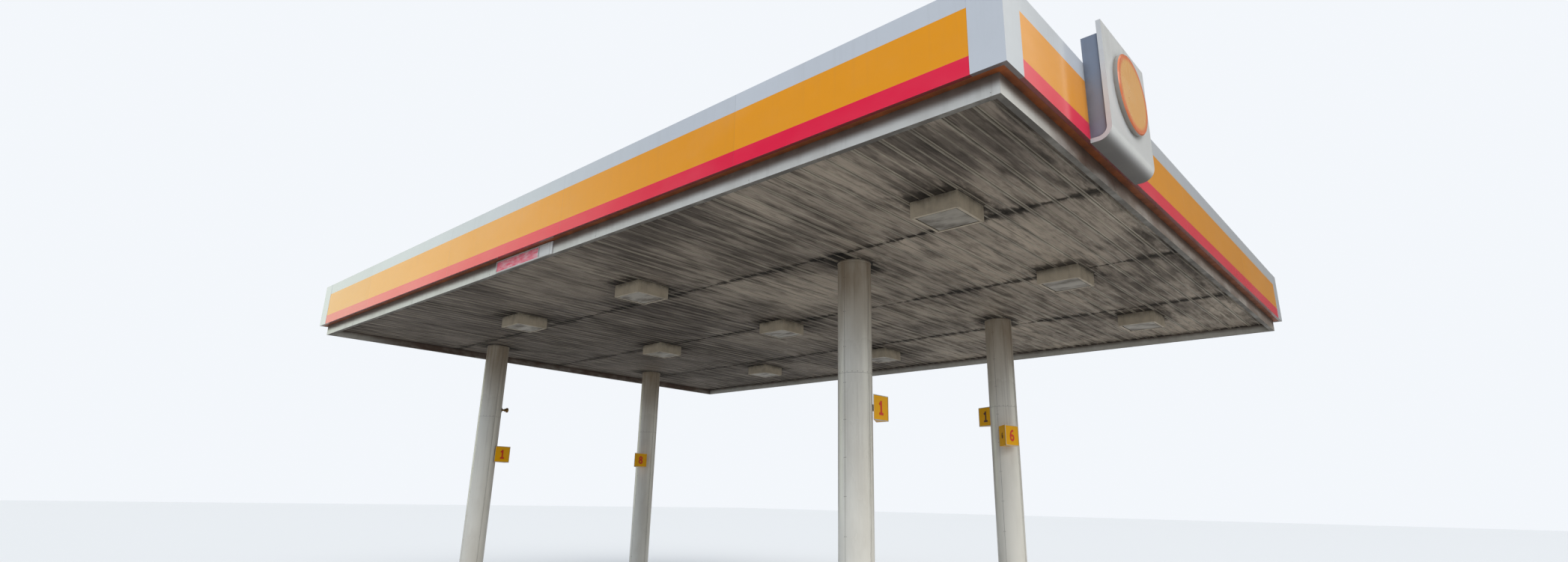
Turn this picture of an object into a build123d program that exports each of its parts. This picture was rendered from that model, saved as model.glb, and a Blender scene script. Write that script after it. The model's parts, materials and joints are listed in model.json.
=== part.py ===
from build123d import *
import os

# Filling station canopy: four round columns, steel beams, a ribbed metal deck,
# a gutter all round and a deep three-colour fascia with a sign pod on the right side.
# Front is -Y, right is +X, up is +Z, and the ground is Z = 0.
# The origin is on the ground, below the middle of the whole canopy with its pod.

# Plan sizes, mm
pan_pitch = 305
pan_count = 46
trim_width = 10150
deck_inset = 35
fascia_overhang = 114

# Heights above the ground and of each band, mm
clearance = 4900
deck_rise = 121
trim_height = 172
red_band_height = 164
yellow_band_height = 428
white_band_height = 190

# Deck pans
deck_gauge = 2
rib_width = 38
rib_height = 75
rib_slope = 6
deck_row_count = 4
deck_row_gap = 3

# Gutter and recess strip
gutter_gauge = 3
gutter_width = 60
recess_gauge = 3
recess_joint = 1

# Fascia cladding
clad_gauge = 6
white_return = 80
red_return = 40
corner_post_width = 296
corner_post_step = 2

# Fascia framing behind the cladding
frame_tube = 50
frame_bay = 1500

# Beams
edge_beam_height = 250
edge_beam_flange = 75
edge_beam_web = 8
edge_beam_flange_gauge = 12
purlin_flange = 150
purlin_web = 8
purlin_flange_gauge = 12
main_beam_height = 400
main_beam_flange = 180
main_beam_web = 10
main_beam_flange_gauge = 16

# Columns
column_from_right = 3580
column_spacing_x = 9470
column_from_seam = 446
post_size = 254
post_wall = 10
base_plate_size = 480
base_plate_gauge = 32
cap_plate_size = 400
cap_plate_gauge = 25
anchor_spacing = 380
anchor_hole_radius = 14
cover_radius = 220
cover_gauge = 3
cover_reach = 30
deck_hole_clearance = 14
deck_hole_sides = 24

# Surface lamps under the deck
lamp_size = 560
lamp_height = 183
lamp_frame = 32
lamp_pocket = 26
lens_clearance = 2
lens_gauge = 24
lens_bevel = 14
lamp_pans_from_right = (5, 22, 33)
lamp_row_spacing = 3150

# Sign pod on the right fascia
pod_width = 1180
pod_height = 1186
pod_projection = 195
pod_plate_gauge = 43
pod_curve_radius = 130
pod_below_fascia = 33
pod_from_front = 1516
pod_housing_inset = 15
pod_housing_drop = 120
disc_radius = 395
disc_gauge = 50
disc_edge_chamfer = 10
disc_height = 655

# Number flags on the columns
flag_face = 330
flag_depth = 190
flag_height = 320
flag_gap = 8
side_flag_tuck = 15
side_flag_ahead = 105
ahead_flag_turn = -12
ahead_flag_depth = 250
ahead_flag_reach = 378
ahead_flag_corner = -145
behind_flag_turn = -112
behind_flag_reach = 50
front_right_flag_top = 3280
back_right_flag_top = 3190
behind_flag_top = 3570
front_left_flag_top = 2940
back_left_flag_top = 3000
flag_arm_width = 40
flag_arm_height = 80
flag_arm_start = 150
side_arm_offset = 100
side_arm_length = 150
ahead_arm_start = 100
ahead_arm_length = 205
behind_arm_offset = -60
behind_arm_length = 110
flag_seat_clearance = 0.3

# Clearance plate on the front gutter
plate_width = 1360
plate_margin = 3
plate_gauge = 12
plate_rim = 14
plate_recess = 3
plate_from_right = 6815

# Places worked out from the sizes above
deck_length = pan_pitch * pan_count
trim_length = deck_length + 2 * deck_inset
pod_reach = pod_projection + disc_gauge
overall_length = corner_post_step + trim_length + 2 * fascia_overhang + pod_reach
trim_left = -overall_length / 2 + corner_post_step + fascia_overhang
trim_right = trim_left + trim_length
trim_front = -trim_width / 2
trim_back = trim_width / 2
deck_bottom = clearance + deck_rise
rib_top = deck_bottom + rib_height
steel_bottom = rib_top
steel_top = steel_bottom + edge_beam_height
fascia_bottom = clearance + trim_height
yellow_bottom = fascia_bottom + red_band_height
white_bottom = yellow_bottom + yellow_band_height
fascia_top = white_bottom + white_band_height
clad_back = -fascia_overhang + clad_gauge
beam_face = clad_back + frame_tube
beam_tip = beam_face + edge_beam_flange
deck_width = trim_width - 2 * deck_inset
row_pitch = (deck_width + deck_row_gap) / deck_row_count
row_length = row_pitch - deck_row_gap
column_right = trim_right - column_from_right
column_left = column_right - column_spacing_x
column_back = row_pitch - column_from_seam
column_places = {
    "front_right": (column_right, -column_back),
    "back_right": (column_right, column_back),
    "front_left": (column_left, -column_back),
    "back_left": (column_left, column_back),
}

# Each side of the roof, seen from outside: where it starts, the way it runs,
# the way in towards the deck, and its length along the gutter's outer face
sides = {
    "front": ((trim_left, trim_front), (1, 0), (0, 1), trim_length),
    "right": ((trim_right, trim_front), (0, 1), (-1, 0), trim_width),
    "back": ((trim_right, trim_back), (-1, 0), (0, -1), trim_length),
    "left": ((trim_left, trim_back), (0, -1), (1, 0), trim_width),
}
mitre_reach = 400

os.makedirs("parts", exist_ok=True)


def finish(builder, label):
    """Name a finished piece and write it to its own file."""
    builder.part.label = label
    export_step(builder.part, f"parts/{label}.step")
    print(label, len(builder.part.solids()), round(builder.part.volume / 1e6, 2), "litres")


def side_plane(side, along=0):
    """A plane across one side of the roof: its x axis points in, its y axis up."""
    (x, y), (ax, ay), (ix, iy), _ = sides[side]
    return Plane(origin=(x + ax * along, y + ay * along, 0), x_dir=(ix, iy, 0), z_dir=(ax, ay, 0))


def side_run(side, outline, start, end):
    """Extrude an outline along a side, from start to its length less end."""
    length = sides[side][3]
    with BuildSketch(side_plane(side, start)) as section:
        with BuildLine():
            Polyline(*outline, close=True)
        make_face()
    extrude(section.sketch, amount=length - end - start)


def mitred_run(side, outline):
    """Extrude an outline along a side and cut both ends at 45 degrees on the roof's corners."""
    (x, y), (ax, ay), (ix, iy), length = sides[side]
    side_run(side, outline, -mitre_reach, -mitre_reach)
    start_cut = Plane(origin=(x, y, 0), z_dir=(ax - ix, ay - iy, 0))
    end_cut = Plane(origin=(x + ax * length, y + ay * length, 0), z_dir=(-ax - ix, -ay - iy, 0))
    split(bisect_by=start_cut, keep=Keep.TOP)
    split(bisect_by=end_cut, keep=Keep.TOP)


def i_outline(centre, bottom, height, flange, web, gauge):
    """Outline of a rolled beam, bottom left corner first."""
    top = bottom + height
    half = flange / 2
    right = [
        (centre + half, bottom),
        (centre + half, bottom + gauge),
        (centre + web / 2, bottom + gauge),
        (centre + web / 2, top - gauge),
        (centre + half, top - gauge),
        (centre + half, top),
    ]
    left = [(2 * centre - px, pz) for px, pz in reversed(right)]
    return right + left


# Columns: a square steel tube on a bolted base plate, with a cap plate under the main beam
for place, (column_x, column_y) in column_places.items():
    shaft_top = steel_top - cap_plate_gauge
    with BuildPart() as column_post:
        with BuildSketch(Plane((column_x, column_y, 0))):
            Rectangle(base_plate_size, base_plate_size)
            with GridLocations(anchor_spacing, anchor_spacing, 2, 2):
                Circle(anchor_hole_radius, mode=Mode.SUBTRACT)
        extrude(amount=base_plate_gauge)
        with BuildSketch(Plane((column_x, column_y, base_plate_gauge))):
            Rectangle(post_size, post_size)
            Rectangle(post_size - 2 * post_wall, post_size - 2 * post_wall, mode=Mode.SUBTRACT)
        extrude(amount=shaft_top - base_plate_gauge)
        with BuildSketch(Plane((column_x, column_y, shaft_top))):
            Rectangle(cap_plate_size, cap_plate_size)
        extrude(amount=cap_plate_gauge)
    finish(column_post, f"column_post_{place}")

# Column covers: round sheet sleeves from the base plates up into the deck
cover_top = deck_bottom + cover_reach
for place, (column_x, column_y) in column_places.items():
    with BuildPart() as column_cover:
        with BuildSketch(Plane((column_x, column_y, base_plate_gauge))):
            Circle(cover_radius)
            Circle(cover_radius - cover_gauge, mode=Mode.SUBTRACT)
        extrude(amount=cover_top - base_plate_gauge)
    finish(column_cover, f"column_cover_{place}")

# Main beams: one over each pair of columns, lying on the purlins and the edge beams
for place, beam_x in (("right", column_right), ("left", column_left)):
    beam_start = trim_front + beam_face
    with BuildPart() as main_beam:
        with BuildSketch(Plane(origin=(beam_x, beam_start, 0), x_dir=(-1, 0, 0), z_dir=(0, 1, 0))):
            with BuildLine():
                Polyline(
                    *i_outline(
                        0,
                        steel_top,
                        main_beam_height,
                        main_beam_flange,
                        main_beam_web,
                        main_beam_flange_gauge,
                    ),
                    close=True,
                )
            make_face()
        extrude(amount=trim_width - 2 * beam_face)
    finish(main_beam, f"main_beam_{place}")

# Purlins: over each joint between two rows of pans, from edge beam to edge beam
with BuildPart() as purlins:
    for row in range(1, deck_row_count):
        purlin_y = deck_inset + row * row_pitch - deck_row_gap / 2
        purlin = i_outline(
            purlin_y,
            steel_bottom,
            edge_beam_height,
            purlin_flange,
            purlin_web,
            purlin_flange_gauge,
        )
        side_run("front", purlin, beam_tip, beam_tip)
finish(purlins, "purlins")


def deck_outline():
    """Section of the ribbed deck: flat pans below, with a standing rib at each pan joint."""
    half_mouth = rib_width / 2
    half_top = half_mouth - rib_slope
    below = [(0, deck_bottom)]
    above = [(0, deck_bottom + deck_gauge)]
    for joint in range(1, pan_count):
        middle = joint * pan_pitch
        below += [
            (middle - half_mouth, deck_bottom),
            (middle - half_top, rib_top - deck_gauge),
            (middle + half_top, rib_top - deck_gauge),
            (middle + half_mouth, deck_bottom),
        ]
        above += [
            (middle - half_mouth - deck_gauge, deck_bottom + deck_gauge),
            (middle - half_top - deck_gauge, rib_top),
            (middle + half_top + deck_gauge, rib_top),
            (middle + half_mouth + deck_gauge, deck_bottom + deck_gauge),
        ]
    below.append((deck_length, deck_bottom))
    above.append((deck_length, deck_bottom + deck_gauge))
    return below + above[::-1]


# Deck: ribbed pans that are ceiling and roof in one, in rows that meet under the purlins
deck_section = deck_outline()
for row in range(deck_row_count):
    row_start = trim_front + deck_inset + row * row_pitch
    row_plane = Plane(
        origin=(trim_right - deck_inset, row_start, 0), x_dir=(-1, 0, 0), z_dir=(0, 1, 0)
    )
    with BuildPart() as deck_row:
        with BuildSketch(row_plane):
            with BuildLine():
                Polyline(*deck_section, close=True)
            make_face()
        extrude(amount=row_length)
        for column_x, column_y in column_places.values():
            if row_start < column_y < row_start + row_length:
                with BuildSketch(Plane((column_x, column_y, deck_bottom - deck_gauge))):
                    RegularPolygon(cover_radius + deck_hole_clearance, deck_hole_sides)
                extrude(amount=rib_height + 2 * deck_gauge, mode=Mode.SUBTRACT)
    finish(deck_row, f"deck_row_{row + 1}")

# Gutter: a deep channel all round that the pans drain into and rest on
gutter_section = [
    (0, clearance),
    (gutter_width, clearance),
    (gutter_width, deck_bottom),
    (gutter_width - gutter_gauge, deck_bottom),
    (gutter_width - gutter_gauge, clearance + gutter_gauge),
    (gutter_gauge, clearance + gutter_gauge),
    (gutter_gauge, steel_bottom),
    (0, steel_bottom),
]
for side in sides:
    with BuildPart() as gutter:
        mitred_run(side, gutter_section)
    finish(gutter, f"gutter_{side}")

# Recess strip: closes the step between the gutter and the fascia from below
recess_bottom = fascia_bottom + clad_gauge
recess_section = [
    (clad_back, recess_bottom),
    (0, recess_bottom),
    (0, recess_bottom + recess_gauge),
    (clad_back, recess_bottom + recess_gauge),
]
recess_starts = {"front": clad_back, "back": clad_back, "left": recess_joint, "right": recess_joint}
with BuildPart() as recess_strips:
    for side, recess_start in recess_starts.items():
        side_run(side, recess_section, recess_start, recess_start)
finish(recess_strips, "recess_strips")

# Fascia cladding: three bands a side, stacked edge to edge between the corner posts
clad_face = -fascia_overhang
red_section = [
    (clad_face, fascia_bottom),
    (clad_face + red_return, fascia_bottom),
    (clad_face + red_return, recess_bottom),
    (clad_back, recess_bottom),
    (clad_back, yellow_bottom),
    (clad_face, yellow_bottom),
]
yellow_section = [
    (clad_face, yellow_bottom),
    (clad_back, yellow_bottom),
    (clad_back, white_bottom),
    (clad_face, white_bottom),
]
white_section = [
    (clad_face, white_bottom),
    (clad_back, white_bottom),
    (clad_back, fascia_top - clad_gauge),
    (clad_face + white_return, fascia_top - clad_gauge),
    (clad_face + white_return, fascia_top),
    (clad_face, fascia_top),
]
post_end = corner_post_width - fascia_overhang
for colour, section in (("red", red_section), ("yellow", yellow_section), ("white", white_section)):
    for side in sides:
        with BuildPart() as band:
            side_run(side, section, post_end, post_end)
        finish(band, f"fascia_{colour}_{side}")

# Corner posts: white angle covers, a little proud of the bands, with the same returns
post_face = clad_face - corner_post_step
corner_starts = {
    "front_left": "front",
    "front_right": "right",
    "back_right": "back",
    "back_left": "left",
}


def angle_outline(outer, inner, reach):
    """Outline of an angle whose two legs run along the two sides of a corner."""
    return [
        (outer, outer),
        (reach, outer),
        (reach, inner),
        (inner, inner),
        (inner, reach),
        (outer, reach),
    ]


post_levels = (
    (clad_face + red_return, fascia_bottom, clad_gauge),
    (clad_back, fascia_bottom + clad_gauge, fascia_top - fascia_bottom - 2 * clad_gauge),
    (clad_face + white_return, fascia_top - clad_gauge, clad_gauge),
)
for place, side in corner_starts.items():
    with BuildPart() as corner_post:
        (corner_x, corner_y), (along_x, along_y), _, _ = sides[side]
        for inner, bottom, height in post_levels:
            corner_plane = Plane(
                origin=(corner_x, corner_y, bottom), x_dir=(along_x, along_y, 0), z_dir=(0, 0, 1)
            )
            with BuildSketch(corner_plane):
                with BuildLine():
                    Polyline(*angle_outline(post_face, inner, post_end), close=True)
                make_face()
            extrude(amount=height)
    finish(corner_post, f"corner_post_{place}")

# Edge frames: a mitred channel on each side, open towards the deck, with the welded
# tubes on its outer face that carry the fascia's bands
edge_channel = [
    (beam_face, steel_bottom),
    (beam_tip, steel_bottom),
    (beam_tip, steel_bottom + edge_beam_flange_gauge),
    (beam_face + edge_beam_web, steel_bottom + edge_beam_flange_gauge),
    (beam_face + edge_beam_web, steel_top - edge_beam_flange_gauge),
    (beam_tip, steel_top - edge_beam_flange_gauge),
    (beam_tip, steel_top),
    (beam_face, steel_top),
]
frame_bottom = recess_bottom + recess_gauge
frame_top = fascia_top - clad_gauge
rail_bottoms = (
    yellow_bottom - frame_tube / 2,
    white_bottom - frame_tube / 2,
    frame_top - frame_tube,
)
rail_starts = {"front": clad_back, "back": clad_back, "left": beam_face, "right": beam_face}
for side, rail_start in rail_starts.items():
    frame_length = sides[side][3] - 2 * beam_face
    bay_count = round(frame_length / frame_bay)
    upright_pitch = (frame_length - frame_tube) / bay_count
    with BuildPart() as edge_frame:
        mitred_run(side, edge_channel)
        for rail_bottom in rail_bottoms:
            rail = [
                (clad_back, rail_bottom),
                (beam_face, rail_bottom),
                (beam_face, rail_bottom + frame_tube),
                (clad_back, rail_bottom + frame_tube),
            ]
            side_run(side, rail, rail_start, rail_start)
        upright = [
            (clad_back, frame_bottom),
            (beam_face, frame_bottom),
            (beam_face, frame_top),
            (clad_back, frame_top),
        ]
        for bay in range(bay_count + 1):
            upright_start = beam_face + bay * upright_pitch
            upright_end = sides[side][3] - upright_start - frame_tube
            side_run(side, upright, upright_start, upright_end)
    finish(edge_frame, f"edge_frame_{side}")

# Sign pod: a thick face plate that curls back under a box on the right fascia
fascia_face = trim_right + fascia_overhang
pod_front_y = trim_front + pod_from_front
pod_middle_y = pod_front_y + pod_width / 2
pod_bottom = fascia_bottom - pod_below_fascia
pod_top = pod_bottom + pod_height
pod_plane = Plane(origin=(fascia_face, pod_front_y, 0), x_dir=(1, 0, 0), z_dir=(0, -1, 0))


def pod_curl(offset, bottom, top):
    """Lower half of the pod's side profile, moved in by an offset, as closed lines."""
    reach = pod_projection - offset
    radius = pod_curve_radius - offset
    down = Line((0, top), (reach, top))
    front = Line(down @ 1, (reach, bottom + radius))
    bend = RadiusArc(front @ 1, (reach - radius, bottom), radius)
    under = Line(bend @ 1, (0, bottom))
    Line(under @ 1, down @ 0)


with BuildPart() as pod_plate:
    with BuildSketch(pod_plane):
        with BuildLine():
            pod_curl(0, pod_bottom, pod_top)
        make_face()
        with BuildLine():
            pod_curl(pod_plate_gauge, pod_bottom + pod_plate_gauge, pod_top)
        make_face(mode=Mode.SUBTRACT)
    extrude(amount=-pod_width)
finish(pod_plate, "pod_plate")

with BuildPart() as pod_housing:
    with BuildSketch(pod_plane.offset(-pod_housing_inset)):
        with BuildLine():
            pod_curl(pod_plate_gauge, pod_bottom + pod_plate_gauge, pod_top - pod_housing_drop)
        make_face()
    extrude(amount=-(pod_width - 2 * pod_housing_inset))
finish(pod_housing, "pod_housing")

with BuildPart() as pod_disc:
    disc_plane = Plane(
        origin=(fascia_face + pod_projection, pod_middle_y, pod_bottom + disc_height),
        x_dir=(0, 1, 0),
        z_dir=(1, 0, 0),
    )
    with BuildSketch(disc_plane):
        Circle(disc_radius)
    extrude(amount=disc_gauge)
    chamfer(pod_disc.edges().filter_by(GeomType.CIRCLE).sort_by(Axis.X)[-1], disc_edge_chamfer)
finish(pod_disc, "pod_disc")

# Lamps: square boxes screwed up against the pans, each with a lens let into its underside
lamp_bottom = deck_bottom - lamp_height
lamp_places = [
    (trim_right - deck_inset - pans * pan_pitch, row * lamp_row_spacing)
    for pans in lamp_pans_from_right
    for row in (-1, 0, 1)
]
pocket_size = lamp_size - 2 * lamp_frame
with BuildPart() as lamp_housings:
    for lamp_x, lamp_y in lamp_places:
        with BuildSketch(Plane((lamp_x, lamp_y, lamp_bottom))):
            Rectangle(lamp_size, lamp_size)
        extrude(amount=lamp_height)
        with BuildSketch(Plane((lamp_x, lamp_y, lamp_bottom))):
            Rectangle(pocket_size, pocket_size)
        extrude(amount=lamp_pocket, mode=Mode.SUBTRACT)
finish(lamp_housings, "lamp_housings")

lens_size = pocket_size - 2 * lens_clearance
with BuildPart() as lamp_lenses:
    for lamp_x, lamp_y in lamp_places:
        with BuildSketch(Plane((lamp_x, lamp_y, lamp_bottom + lamp_pocket - lens_gauge))):
            Rectangle(lens_size, lens_size)
        extrude(amount=lens_gauge)
    lens_rims = lamp_lenses.faces().filter_by(Axis.Z).group_by(Axis.Z)[0].edges()
    chamfer(lens_rims, lens_bevel)
finish(lamp_lenses, "lamp_lenses")

# Number flags: wedge boxes beside the columns, each on a short arm from the cover.
# In its column's turned frame a flag has its face across +X, at its reach, from a far
# corner towards -Y; its third corner lies behind the face, set back by its step.
side_flag = (
    (0, cover_radius - side_flag_tuck, flag_face + side_flag_ahead, flag_depth, 0),
    (side_arm_offset, flag_arm_start, side_arm_length),
)
ahead_flag = (
    (ahead_flag_turn, ahead_flag_reach, ahead_flag_corner, ahead_flag_depth, flag_face / 2),
    (flag_arm_start, -ahead_arm_start - ahead_arm_length, ahead_arm_length),
)
behind_flag = (
    (behind_flag_turn, behind_flag_reach, -cover_radius - flag_gap, flag_depth, 0),
    (behind_arm_offset, -flag_arm_start - behind_arm_length, behind_arm_length),
)
flag_places = (
    ("front_right", front_right_flag_top, side_flag),
    ("back_right", back_right_flag_top, ahead_flag),
    ("back_right", behind_flag_top, behind_flag),
    ("front_left", front_left_flag_top, side_flag),
    ("back_left", back_left_flag_top, ahead_flag),
)
with BuildPart() as number_flags:
    for place, flag_top, (wedge, arm) in flag_places:
        turn, reach, corner, depth, step = wedge
        arm_x, arm_y, arm_length = arm
        column_x, column_y = column_places[place]
        flag_plane = Plane((column_x, column_y, flag_top - flag_height)).rotated((0, 0, turn))
        with BuildSketch(flag_plane):
            with BuildLine():
                Polyline(
                    (reach - depth, corner - step),
                    (reach, corner),
                    (reach, corner - flag_face),
                    close=True,
                )
            make_face()
        extrude(amount=flag_height)
        with BuildSketch(flag_plane.offset((flag_height - flag_arm_height) / 2)):
            with Locations((arm_x, arm_y)):
                Rectangle(flag_arm_width, arm_length, align=(Align.MIN, Align.MIN))
            Circle(cover_radius + flag_seat_clearance, mode=Mode.SUBTRACT)
        extrude(amount=flag_arm_height)
finish(number_flags, "number_flags")

# Clearance plate: a framed plate on the front gutter, left bare
plate_bottom = clearance + plate_margin
plate_height = trim_height - 2 * plate_margin
with BuildPart() as clearance_plate:
    plate_plane = Plane(
        origin=(trim_right - plate_from_right, trim_front, plate_bottom + plate_height / 2),
        x_dir=(1, 0, 0),
        z_dir=(0, -1, 0),
    )
    with BuildSketch(plate_plane):
        Rectangle(plate_width, plate_height)
    extrude(amount=plate_gauge)
    with BuildSketch(plate_plane.offset(plate_gauge - plate_recess)):
        Rectangle(plate_width - 2 * plate_rim, plate_height - 2 * plate_rim)
    extrude(amount=plate_recess, mode=Mode.SUBTRACT)
finish(clearance_plate, "clearance_plate")
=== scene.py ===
# %% [markdown]
# # A filling station canopy
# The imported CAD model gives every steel, sheet and sign piece its true size and place.
# This lesson dresses it: one weathered finish for each material, and the small things that
# a fitter would add on site, such as rivets, nuts, latches, joint straps and numerals.
# All numbers are metres in the CAD frame: right is +X, the front is -Y, the ground is z = 0.

# %% Load the frame
import json
import math
from itertools import product
import bpy
import bmesh
from mathutils import Matrix, Vector


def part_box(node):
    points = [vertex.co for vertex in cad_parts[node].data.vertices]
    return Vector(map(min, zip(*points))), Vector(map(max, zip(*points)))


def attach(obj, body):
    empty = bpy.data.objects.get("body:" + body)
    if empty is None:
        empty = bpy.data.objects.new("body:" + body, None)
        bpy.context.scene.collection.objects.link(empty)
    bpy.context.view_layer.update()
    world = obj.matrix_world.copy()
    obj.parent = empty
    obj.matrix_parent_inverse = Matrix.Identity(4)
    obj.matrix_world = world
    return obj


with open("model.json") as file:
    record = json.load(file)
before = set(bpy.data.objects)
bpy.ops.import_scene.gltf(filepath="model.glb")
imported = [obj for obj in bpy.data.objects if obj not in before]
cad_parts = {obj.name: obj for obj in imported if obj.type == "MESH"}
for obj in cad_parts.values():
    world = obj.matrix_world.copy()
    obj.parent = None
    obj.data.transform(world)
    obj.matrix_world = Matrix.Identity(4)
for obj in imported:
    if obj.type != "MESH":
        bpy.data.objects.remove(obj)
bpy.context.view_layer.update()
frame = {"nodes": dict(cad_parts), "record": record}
nodes = frame["nodes"]
print("pieces from the CAD model:", len(nodes))

# %% [markdown]
# ## Places that everything else is measured from
# On site a fitter measures from the deck, the columns and the roof's corners. Reading the
# same places from the frame's boxes keeps each added piece seated, also if a size changes.

# %% Measure the canopy
deck_low, deck_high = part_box("deck_row_1")
deck_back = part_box("deck_row_4")[1].y
deck_front = deck_low.y
deck_right = deck_high.x
deck_left = deck_low.x
ceiling = deck_low.z
pan_count = 46
row_count = 4
pan_pitch = (deck_right - deck_left) / pan_count
row_pitch = (deck_back - deck_front) / row_count
gutter_low, gutter_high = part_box("gutter_front")
trim_left, trim_right = gutter_low.x, gutter_high.x
trim_front = gutter_low.y
trim_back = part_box("gutter_back")[1].y
gutter_bottom = gutter_low.z
column_names = ("front_right", "back_right", "front_left", "back_left")
columns = {}
for column_name in column_names:
    low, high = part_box("column_cover_" + column_name)
    columns[column_name] = Vector(((low.x + high.x) / 2, (low.y + high.y) / 2, low.z))
    cover_radius = (high.x - low.x) / 2
lamp_size = 0.56
lamp_low, lamp_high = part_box("lamp_housings")
lamp_bottom = lamp_low.z
lamp_pans = (5, 22, 33)
lamp_xs = [deck_right - pans * pan_pitch for pans in lamp_pans]
lamp_row_pitch = (lamp_high.y - lamp_low.y - lamp_size) / 2
lamp_ys = [-lamp_row_pitch, 0.0, lamp_row_pitch]
print("pans are", round(pan_pitch, 4), "wide and rows", round(row_pitch, 4), "long")
print("columns:", {name: [round(v, 3) for v in place] for name, place in columns.items()})

# %% [markdown]
# ## The camera
# The photograph is taken low and close to one corner, so the deck's underside fills most of
# it. Solving the picture's vanishing points gives the camera's place, its three turns and its
# focal length. A rotation matrix built from the view's own right, up and forward directions
# says the same thing to Blender without any guessing of angles.

# %% Place the camera
photo_width = 2094
focal_pixels = 1005.0
sensor_width = 36.0
yaw, pitch, roll = -0.7337, 0.2852, 0.0196
camera_place = Vector((9.080, -9.8275, 1.95))
level_forward = Vector((math.sin(yaw), math.cos(yaw), 0))
forward = level_forward * math.cos(pitch) + Vector((0, 0, math.sin(pitch)))
level_right = Vector((math.cos(yaw), -math.sin(yaw), 0))
level_up = level_right.cross(forward)
right = level_right * math.cos(roll) + level_up * math.sin(roll)
up = level_up * math.cos(roll) - level_right * math.sin(roll)
camera_data = bpy.data.cameras.new("photo_camera")
camera_data.sensor_width = sensor_width
camera_data.lens = focal_pixels / photo_width * sensor_width
camera_data.clip_end = 500
camera = bpy.data.objects.new("photo_camera", camera_data)
bpy.context.scene.collection.objects.link(camera)
camera_turn = Matrix((right, up, -forward)).transposed().to_4x4()
camera.matrix_world = Matrix.Translation(camera_place) @ camera_turn
bpy.context.scene.camera = camera
print("lens", round(camera_data.lens, 2), "mm")

# %% [markdown]
# ## Small helpers for shader nodes
# A node tree is only nodes and links. A few helpers keep each material short to read: one adds
# a node and fills its sockets, some do arithmetic, one mixes two colours by a mask, and two
# read where a point is and which way its face looks. A socket given as a value is linked, and
# a plain number is set.

# %% Node helpers
def srgb(red, green, blue):
    """A screen colour, 0 to 255 a channel, as the linear colour that Blender works in."""
    def linear(value):
        value = value / 255
        return value / 12.92 if value <= 0.04045 else ((value + 0.055) / 1.055) ** 2.4
    return (linear(red), linear(green), linear(blue), 1.0)


def put(tree, value, socket):
    """Link a socket, or set a plain value."""
    if isinstance(value, bpy.types.NodeSocket):
        tree.links.new(value, socket)
    else:
        socket.default_value = value


def node(tree, kind, inputs=None, **settings):
    """Add a shader node with its settings and its inputs by name."""
    made = tree.nodes.new("ShaderNode" + kind)
    for name, value in settings.items():
        setattr(made, name, value)
    for name, value in (inputs or {}).items():
        put(tree, value, made.inputs[name])
    return made


def calc(tree, operation, *values, clamp=False):
    """Arithmetic on sockets or numbers."""
    made = tree.nodes.new("ShaderNodeMath")
    made.operation = operation
    made.use_clamp = clamp
    for value, socket in zip(values, made.inputs):
        put(tree, value, socket)
    return made.outputs[0]


def times(tree, first, second, clamp=False):
    """The product of two sockets or numbers."""
    return calc(tree, "MULTIPLY", first, second, clamp=clamp)


def scaled(tree, value, factor, offset, clamp=False):
    """value times factor plus offset."""
    return calc(tree, "MULTIPLY_ADD", value, factor, offset, clamp=clamp)


def ramp(tree, value, low, high, to_low=0.0, to_high=1.0):
    """Carry value from the range low to high onto another range, smoothly and clamped."""
    made = tree.nodes.new("ShaderNodeMapRange")
    made.interpolation_type = "SMOOTHSTEP"
    inputs = {"Value": value, "From Min": low, "From Max": high, "To Min": to_low, "To Max": to_high}
    for name, given in inputs.items():
        put(tree, given, made.inputs[name])
    return made.outputs["Result"]


def mix(tree, mask, under, over):
    """Lay the colour over on the colour under, where the mask is 1."""
    made = tree.nodes.new("ShaderNodeMix")
    made.data_type = "RGBA"
    put(tree, mask, made.inputs[0])
    put(tree, under, made.inputs[6])
    put(tree, over, made.inputs[7])
    return made.outputs[2]


print("helpers for nodes, arithmetic and colour ready")

# %% Helpers for groups and places
def new_group(name, inputs, outputs):
    """A shader node group with named sockets, and its input and output nodes."""
    tree = bpy.data.node_groups.new(name, "ShaderNodeTree")
    for label, kind, value in inputs:
        socket = tree.interface.new_socket(label, in_out="INPUT", socket_type="NodeSocket" + kind)
        socket.default_value = value
    for label, kind in outputs:
        tree.interface.new_socket(label, in_out="OUTPUT", socket_type="NodeSocket" + kind)
    given = tree.nodes.new("NodeGroupInput").outputs
    result = tree.nodes.new("NodeGroupOutput").inputs
    return tree, given, result


def use(tree, group, **inputs):
    """Place a group in a tree. An underscore in a keyword stands for a space in its socket."""
    made = tree.nodes.new("ShaderNodeGroup")
    made.node_tree = group
    for name, value in inputs.items():
        put(tree, value, made.inputs[name.replace("_", " ")])
    return made.outputs


def place_of(tree):
    """A point's x, y and z in the object's own coordinates."""
    return node(tree, "SeparateXYZ", {0: node(tree, "TexCoord").outputs["Object"]}).outputs


def facing(tree, axis, normal="True Normal"):
    """How far a face looks along an axis, from -1 to 1."""
    return node(tree, "SeparateXYZ", {0: node(tree, "NewGeometry").outputs[normal]}).outputs[axis]


def stretched_noise(tree, stretch, detail=4.0, roughness=0.6, shift=(0, 0, 0)):
    """Noise that is fixed to the object, drawn out by a stretch along x, y and z."""
    place = node(tree, "TexCoord").outputs["Object"]
    drawn = node(tree, "VectorMath", {0: place, 1: stretch}, operation="MULTIPLY").outputs[0]
    moved = node(tree, "VectorMath", {0: drawn, 1: shift}, operation="ADD").outputs[0]
    inputs = {"Vector": moved, "Scale": 1.0, "Detail": detail, "Roughness": roughness}
    return node(tree, "TexNoise", inputs).outputs["Fac"]


print("helpers for groups and places ready")

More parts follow.
